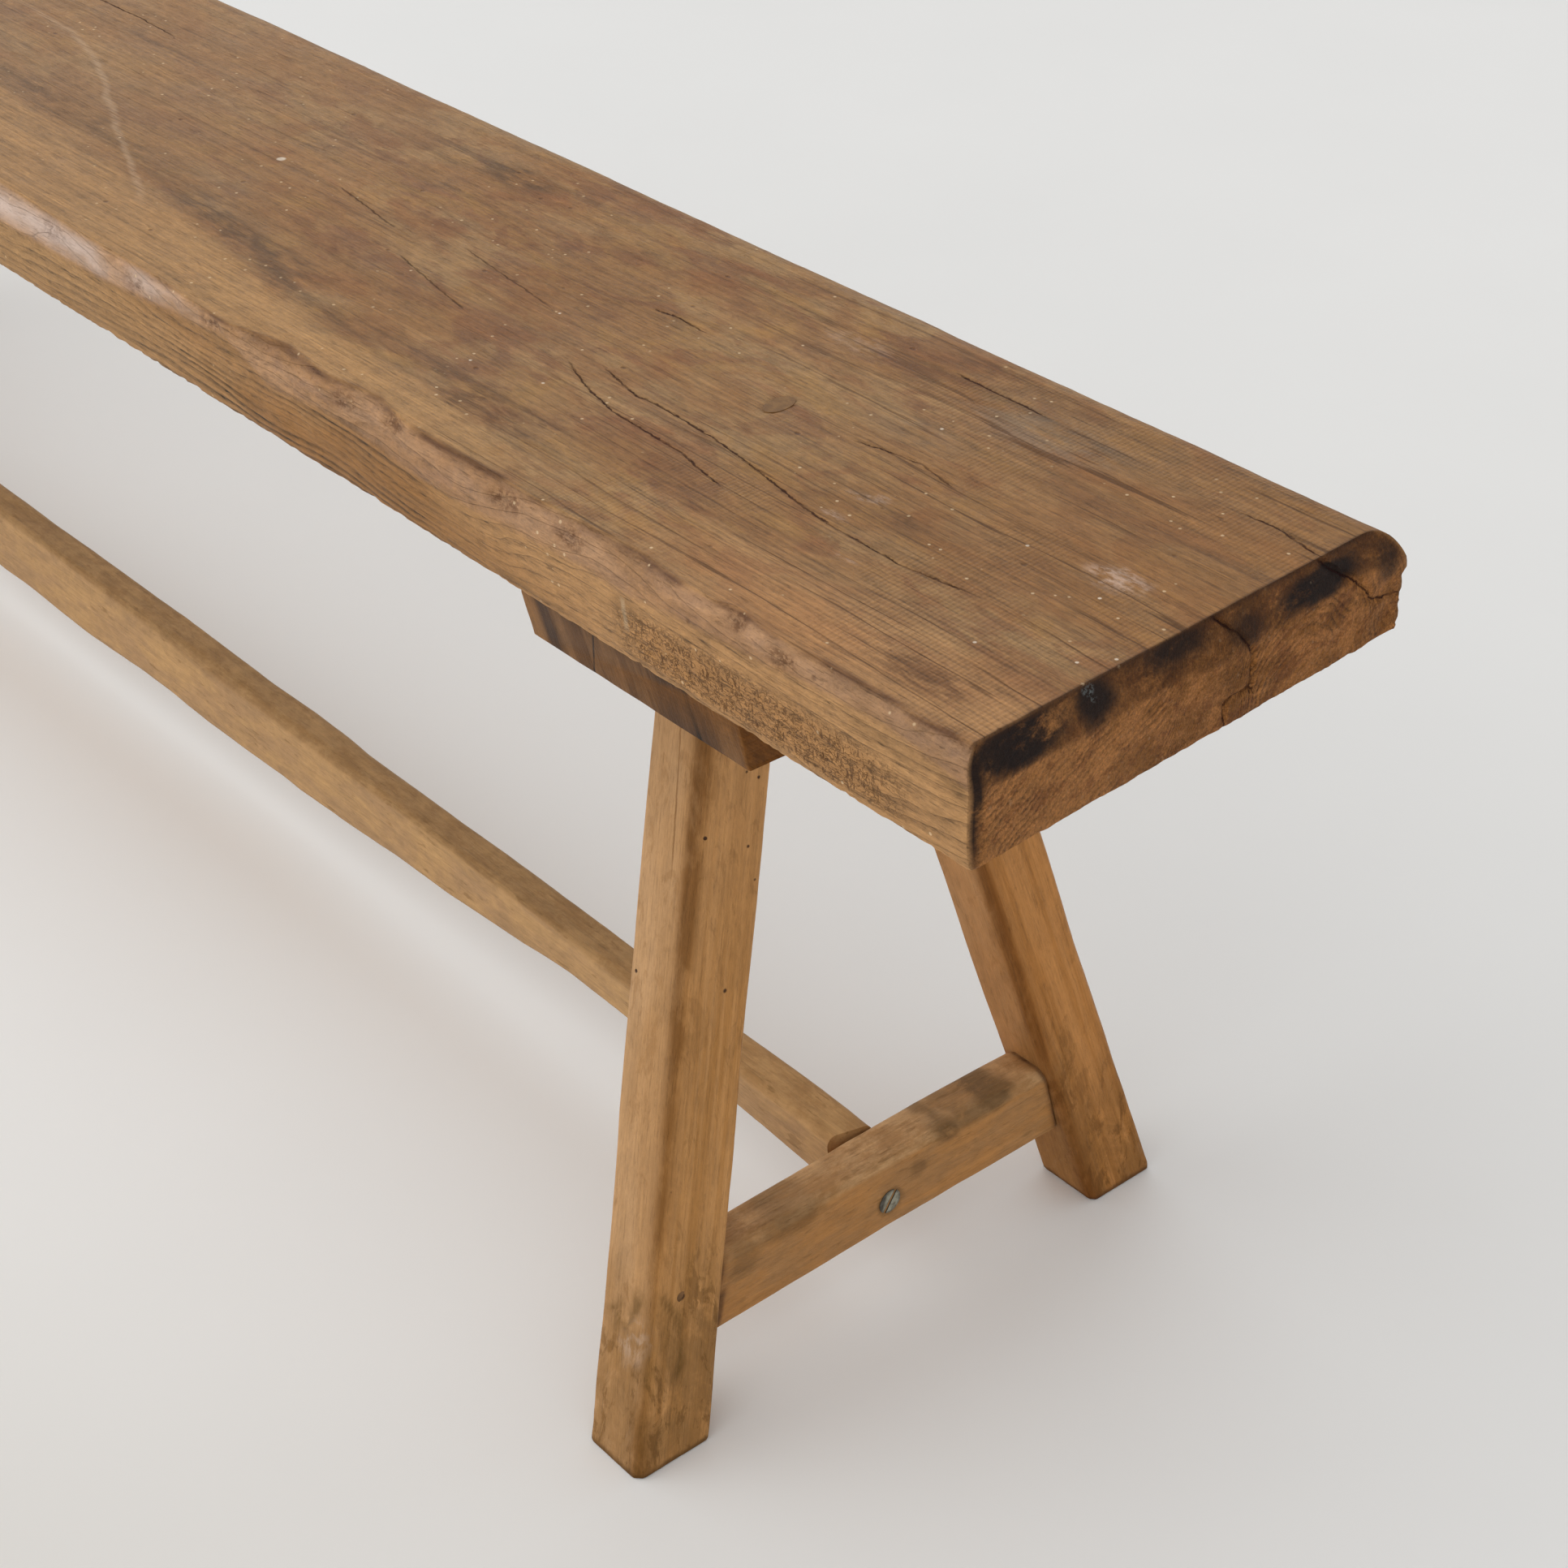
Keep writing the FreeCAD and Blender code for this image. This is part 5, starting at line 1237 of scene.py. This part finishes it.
# large marks of the seat, one value per vertex
sp = points_of(seat)
STAIN_LINE = [(-900, -50), (-600, -72), (-350, -58), (-150, -40), (30, -52), (167.8, -62.3), (286.7, -74.7), (357.5, -85.9), (419.5, -93.8), (558.4, -98), (640, -116), (700, -135)]
ln = along(sp[:, 0], STAIN_LINE) + 5 * fbm(sp, (60, 12, 12), 3, 201)
is_top = (sp[:, 2] > 446).astype(float)
honey = smooth(ln - sp[:, 1], -3, 10) * (1 - smooth(sp[:, 0], 520, 680)) * is_top
stain = np.exp(-(((sp[:, 1] - ln - 9) / 11.0) ** 2)) * (1 - smooth(sp[:, 0], 560, 640)) * (0.35 + 0.65 * smooth(fbm(sp, (120, 20, 20), 3, 202), -0.25, 0.35)) * is_top
for cx, cy, rx, ry, k in ((358, 74, 40, 14, 0.8), (849, -103, 34, 13, 0.9), (558, -98, 30, 10, 0.8), (700, 96, 70, 10, 0.5), (470, 60, 60, 12, 0.45), (760, -30, 22, 8, 0.45)):
    q = sp + 4 * np.stack([fbm(sp, 16, 3, 203), fbm(sp, 16, 3, 204), fbm(sp, 16, 3, 205)], -1)
    stain = np.maximum(stain, k * blob(q[:, :2], (cx, cy), (rx, ry)) * is_top)
pale = np.zeros(len(sp))
for cx, cy, rx, ry, k in ((843.8, 2, 20, 11, 0.95), (735.3, -21.5, 7, 3, 1.0), (734.9, -45.4, 9, 3, 0.9), (764.6, -64.4, 8, 3, 0.9), (730, -26, 14, 3, 0.8), (620, 70, 30, 12, 0.3)):
    q = sp + 3 * np.stack([fbm(sp, 7, 3, 206), fbm(sp, 7, 3, 207), fbm(sp, 7, 3, 208)], -1)
    pale = np.maximum(pale, k * blob(q[:, :2], (cx, cy), (rx, ry)) * is_top)
grey = np.zeros(len(sp))
for cx, cy, rx, ry, k in ((735, 70, 60, 26, 0.9), (590, 108, 60, 10, 0.5), (700, 30, 40, 14, 0.5)):
    grey = np.maximum(grey, k * blob(sp[:, :2], (cx, cy), (rx, ry)) * is_top)
add_attr(seat, "honey", honey)
add_attr(seat, "stain", np.clip(stain, 0, 1))
add_attr(seat, "pale", pale)
add_attr(seat, "grey", grey)
add_attr(seat, "left", (1 - smooth(sp[:, 0], 60, 420)) * is_top)
add_attr(seat, "leftf", 1 - smooth(sp[:, 0], 150, 480))
add_attr(seat, "ribs", smooth(sp[:, 0], 600, 700) * smooth(fbm(sp, (50, 30, 30), 2, 209), -0.2, 0.4) * is_top)
grime = np.zeros(len(sp))
for cx, cz, rx, rz, k in ((860, 437, 30, 8, 0.6), (760, 440, 40, 6, 0.5), (705, 425, 10, 10, 0.35), (640, 405, 40, 4, 0.5), (890, 440, 14, 16, 0.8), (420, 436, 30, 6, 0.5), (520, 440, 26, 6, 0.6), (300, 410, 40, 6, 0.3)):
    grime = np.maximum(grime, k * blob(np.stack([sp[:, 0] + 5 * fbm(sp, 12, 3, 210), sp[:, 2] + 2 * fbm(sp, 12, 3, 211)], -1), (cx, cz), (rx, rz)) * (sp[:, 1] < -110))
add_attr(seat, "grime", grime)
low_edge = 434.5 + 3.5 * fbm(np.stack([sp[:, 0] * 0, sp[:, 1], sp[:, 1] * 0], -1), 20, 3, 212)
bevel = smooth(sp[:, 2], low_edge - 1.5, low_edge + 2.0)
bevel = bevel * (0.62 + 0.38 * smooth(fbm(np.stack([sp[:, 0] * 0, sp[:, 1], sp[:, 2] * 0.4], -1), 24, 2, 213), -0.3, 0.3))
add_attr(seat, "bevel", bevel)
smut = np.zeros(len(sp))
for cy, cz, ry, rz, k in ((-101, 442, 36, 12, 1.0), (-125, 434, 5, 22, 1.0), (-60, 443, 16, 12, 0.8), (-12, 445, 26, 9, 0.7), (24, 440, 14, 12, 0.55), (70, 441, 34, 9, 1.0), (112, 436, 12, 12, 0.6)):
    q = sp + 3 * np.stack([fbm(sp, 12, 3, 214), fbm(sp, 12, 3, 215), fbm(sp, 12, 3, 216)], -1)
    smut = np.maximum(smut, k * blob(q[:, 1:3], (cy, cz), (ry, rz)))
corner = np.exp(-(((sp[:, 1] + 125.5) / 3.0) ** 2)) * (np.abs(sp[:, 0]) > 880) * smooth(fbm(sp, (9, 9, 14), 2, 218), -0.9, -0.1)
smut = np.maximum(smut, corner * 0.9)
add_attr(seat, "smut", np.clip(smut * 1.4 - 0.08, 0, 1))
gap_x = np.abs(sp[:, 0]) - (X_END - np.where(sp[:, 0] > 0, 14.0, 6.0) * (sp[:, 1] + 125) / 250 - 7.0)
add_attr(seat, "arris", np.exp(-((gap_x - 0.1) / 0.8) ** 2) * smooth(sp[:, 2], 446.5, 449) * (0.55 + 0.45 * smooth(fbm(sp, (20, 12, 20), 2, 217), -0.4, 0.2)))
add_attr(seat, "drip", smooth(sp[:, 2], 414, 419) * (1 - smooth(sp[:, 2], 429, 432)) * (sp[:, 1] < -110))
paint(seat, seat_material())

WORM_X = [(692.6, -87.1, 319.6),
          (693.3, -58.7, 315.3),
          (694.1, -52.6, 310.3),
          (698.7, -62.7, 281.2),
          (696.7, -84.3, 293.6),
          (698.9, -86.3, 296.0),
          (701.3, -61.4, 264.5),
          (703.9, -101.1, 247.8),
          (708.4, -84.9, 219.6, 1.3),
          (716.3, -105.8, 169.4),
          (719.5, -111.6, 149.1),
          (722.2, -103.4, 132.1),
          (721.5, -127.8, 136.8),
          (711.1, -129.9, 142.0),
          (714.7, -133.7, 127.7),
          (730.8, -130.6, 82.6, 2.0),
          (677.3, -109.1, 224.3)]
for key, ob in legs.items():
    p = points_of(ob)
    sx = 1 if "right" in key else -1
    sy = -1 if "front" in key else 1
    ax = sx * (725.5 - 59.5 * p[:, 2] / SHOULDER)
    ay = sy * (147.8 - 100.4 * p[:, 2] / SHOULDER)
    a, b = p[:, 0] - ax, p[:, 1] - ay
    # painted shade: the corner flat that faces the room on the right-hand side is darkened as if in shade
    cy = -1 if sx > 0 else (-1 if sy < 0 else 1)
    e = np.exp(-(((a - 15.0) / 4.2) ** 2) - (((b * cy - 18.0) / 4.6) ** 2))
    add_attr(ob, "edge", np.clip(1.5 * e * (0.75 + 0.6 * fbm(p, (30, 30, 60), 2, 220)), 0, 1))
    add_attr(ob, "xface", smooth(a * sx, 13.0, 17.5))
    pale_l = np.zeros(len(p))
    line_l = np.zeros(len(p))
    w = 2.6 * np.stack([fbm(p, 9, 3, 231), fbm(p, 9, 3, 232), fbm(p, 9, 3, 233)], -1)
    if key == "front_right":
        pale_l = blob(p + 2 * w, (722, -153, 64), (13, 14, 18)) * 0.9
        q = np.stack([p[:, 0] + w[:, 0], p[:, 2] + w[:, 1]], -1)
        f, h = line_field(q, [(701.5, 71.5), (708.5, 68.1), (715.3, 65.4), (720.0, 77.7), (722.9, 87.9)], 7.0)
        line_l = np.maximum(line_l, h * np.exp(-((f / 3.0) ** 2)) * (b < -14))
        line_l = np.maximum(line_l, 0.9 * blob(q, (721.4, 83.9), (6, 7)) * (b < -8))
        line_l = np.maximum(line_l, 0.8 * blob(q, (709.5, 68.1), (5, 12)) * (b < -14))
        q = np.stack([p[:, 1] + w[:, 1], p[:, 2] + w[:, 2]], -1)
        f, h = line_field(q, [(-144.1, 91.8), (-139.9, 83.3), (-134.7, 74.3), (-133.7, 62.6), (-136.5, 50.6), (-141.0, 39.6)], 7.0)
        line_l = np.maximum(line_l, h * np.exp(-((f / 2.3) ** 2)) * (a > 12))
        line_l = np.maximum(line_l, 0.5 * blob(q, (-142, 66), (7, 26)) * (a > 12))
        line_l = np.maximum(line_l, 0.7 * np.exp(-(((a - 15.5) / 2.6) ** 2) - (((b + 17.5) / 3.2) ** 2)) * (1 - smooth(p[:, 2], 55, 95)))
    add_attr(ob, "pale", pale_l)
    add_attr(ob, "stainline", np.clip(line_l, 0, 1))
    m = leg_material("leg_mat_" + key, {"front_right": 1, "back_right": 2, "front_left": 3, "back_left": 4}[key],
                     WORM_X if key == "front_right" else
                     [(733.0, 105.0, 70.0, 1.6), (722.0, 118.0, 160.0), (712.0, 84.0, 230.0)] if key == "back_right" else (), (0.98, 0.93, 0.87) if sy > 0 else (1.0, 1.0, 1.0))
    paint(ob, m)

for ob in bpy.data.objects:
    if ob.type == "MESH" and "cross" in ob.name:
        cp = points_of(ob)
        reach = np.abs(cp[:, 1]).max()
        lean_y = 147.8 - 100.4 * cp[:, 2] / SHOULDER - 20.9
        seam = np.exp(-(((np.abs(cp[:, 1]) - lean_y + 0.5) / 2.4) ** 2))
        # painted shadow: a dark band on the front of the right-hand stretcher, a few mm in from the leg, stands for the
        # shadowed gap of the joint; the seam is the dark joint line itself
        gap_shadow = smooth(-cp[:, 1], lean_y - 8.5, lean_y - 6.5) * smooth(cp[:, 2], 46, 50) * (1 - smooth(cp[:, 2], 66, 72)) * (np.sign(cp[:, 0]) > 0)
        add_attr(ob, "joint_line_and_gap_shadow", np.clip(np.maximum(seam, 0.9 * gap_shadow) * (0.8 + 0.5 * fbm(cp, 6, 3, 241)), 0, 1))
cross_mat = rail_material("cross_mat", 5, alb(172, 124, 76), alb(162, 121, 80), alb(168, 128, 86), alb(188, 150, 108), ring=True)
for ob in cross.values():
    paint(ob, cross_mat)
paint(beam, rail_material("beam_mat", 8, alb(176, 140, 98), alb(163, 130, 95), alb(146, 113, 76), alb(160, 127, 88)))
cleat_mat = cleat_material()
for ob in cleats.values():
    paint(ob, cleat_mat)

plug_mat = small_wood("plug_mat", alb(112, 82, 52), alb(130, 98, 64), 2.0)
peg_mat = small_wood("peg_mat", alb(96, 70, 46), alb(124, 92, 62), 3.0)
wedge_mat = small_wood("wedge_mat", alb(168, 130, 90), alb(188, 152, 112), 4.0)
steel_mat = steel("screw_mat", 5.0)
front_screw_mat = steel("screw_head_mat", 6.0, (-0.6, 62.9, math.radians(57)))
for n, ob in frame["nodes"].items():
    if n.startswith("seat_plug"):
        paint(ob, plug_mat)
    elif n.startswith("peg"):
        paint(ob, peg_mat)
    elif n.startswith("wedge"):
        paint(ob, wedge_mat)
    elif "screw" in n:
        paint(ob, front_screw_mat if n == "stretcher_screw_right" else steel_mat)

# ------------------------------------------------------- tie to the CAD frame
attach(seat, "root"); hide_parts("seat_plank")
for key, ob in legs.items():
    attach(ob, "root"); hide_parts("leg_" + key)
for key, ob in cross.items():
    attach(ob, "root"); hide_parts("cross_stretcher_" + key)
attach(beam, "root"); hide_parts("long_stretcher")
for key, ob in cleats.items():
    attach(ob, "root"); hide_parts("cleat_" + key)


# ============================================================ floor and light
def floor_material():
    g = Graph("floor_mat")
    P_ = g.place()
    n1 = g.noise(g.stretch(P_, 0.0011, 0.0011, 0.0011), 1.0, 3.0, 0.5)
    n2 = g.noise(g.stretch(P_, 0.006, 0.006, 0.006, (4.0, 2.0, 1.0)), 1.0, 3.0, 0.5)
    x, y, z = g.sep(P_)
    # painted light: a pale pool of light painted on the floor where the bench stands, and a painted falloff of light,
    # paler towards the far side of the room and darker and warmer towards the near side
    light_pool_dist = g.math("SQRT", g.math("POWER", x * 0.55, 2.0) + g.math("POWER", y + 60.0, 2.0))
    far = g.step(x * 0.25 + y * 0.95, -800.0, 350.0)
    base = g.mix(far, lin((217, 211, 201)), lin((239, 238, 235)))
    base = g.mix(g.step(light_pool_dist, 620.0, 180.0), base, lin((250, 249, 246)))
    col = g.tone(base, 1.0 + (n1 - 0.5) * 0.05 + (n2 - 0.5) * 0.03)
    return g.finish(col, 0.55 + (n2 - 0.5) * 0.1, None, specular=0.25)


me = bpy.data.meshes.new("floor")
me.from_pydata([(-14, -14, 0), (14, -14, 0), (14, 14, 0), (-14, 14, 0)], [], [(0, 1, 2, 3)])
floor = bpy.data.objects.new("floor", me)
bpy.context.scene.collection.objects.link(floor)
paint(floor, floor_material())

world = bpy.data.worlds.new("room")
bpy.context.scene.world = world
world.use_nodes = True
wt = world.node_tree
bg = wt.nodes["Background"]
bg.inputs["Color"].default_value = (0.985, 0.99, 1.0, 1.0)
tc = wt.nodes.new("ShaderNodeTexCoord")
dot = wt.nodes.new("ShaderNodeVectorMath")
dot.operation = "DOT_PRODUCT"
dot.inputs[1].default_value = Vector((-0.68, -0.72, 0.05)).normalized()
wt.links.new(tc.outputs["Generated"], dot.inputs[0])
ramp = wt.nodes.new("ShaderNodeMapRange")
ramp.interpolation_type = "SMOOTHSTEP"
ramp.inputs["From Min"].default_value = -0.9
ramp.inputs["From Max"].default_value = 0.9
ramp.inputs["To Min"].default_value = 0.50
ramp.inputs["To Max"].default_value = 1.17
wt.links.new(dot.outputs["Value"], ramp.inputs["Value"])
wt.links.new(ramp.outputs["Result"], bg.inputs["Strength"])


def soft_light(name, place, target, size, watts, colour):
    li = bpy.data.lights.new(name, "AREA")
    li.shape = "RECTANGLE"
    li.size, li.size_y = size
    li.energy = watts
    li.color = colour
    ob = bpy.data.objects.new(name, li)
    ob.location = place
    ob.rotation_mode = "QUATERNION"
    ob.rotation_quaternion = (Vector(target) - Vector(place)).to_track_quat("-Z", "Y")
    bpy.context.scene.collection.objects.link(ob)
    return ob


soft_light("window", (-1.6, -3.1, 2.7), (0.55, 0.0, 0.25), (3.4, 2.6), 21.0, (1.0, 0.985, 0.96))
soft_light("far_window", (1.9, 3.6, 2.6), (0.6, 0.0, 0.3), (3.0, 2.4), 6.0, (0.97, 0.985, 1.0))

cam = bpy.data.cameras.new("camera")
cam_ob = bpy.data.objects.new("camera", cam)
bpy.context.scene.collection.objects.link(cam_ob)
right = Vector((0.64905983, 0.76073536, -0.00174672))
down = Vector((0.4129281, -0.35423702, -0.83905096))
ahead = Vector((-0.63891449, 0.54387301, -0.54405003))
m = Matrix.Identity(4)
for k in range(3):
    m[k][0], m[k][1], m[k][2] = right[k], -down[k], -ahead[k]
    m[k][3] = (1.493369, -0.718319, 0.980959)[k]
cam_ob.matrix_world = m
cam.lens = 66.063
cam.sensor_width = 36.0
cam.clip_start, cam.clip_end = 0.05, 60.0
bpy.context.scene.camera = cam_ob
bpy.context.scene.view_settings.view_transform = "Standard"
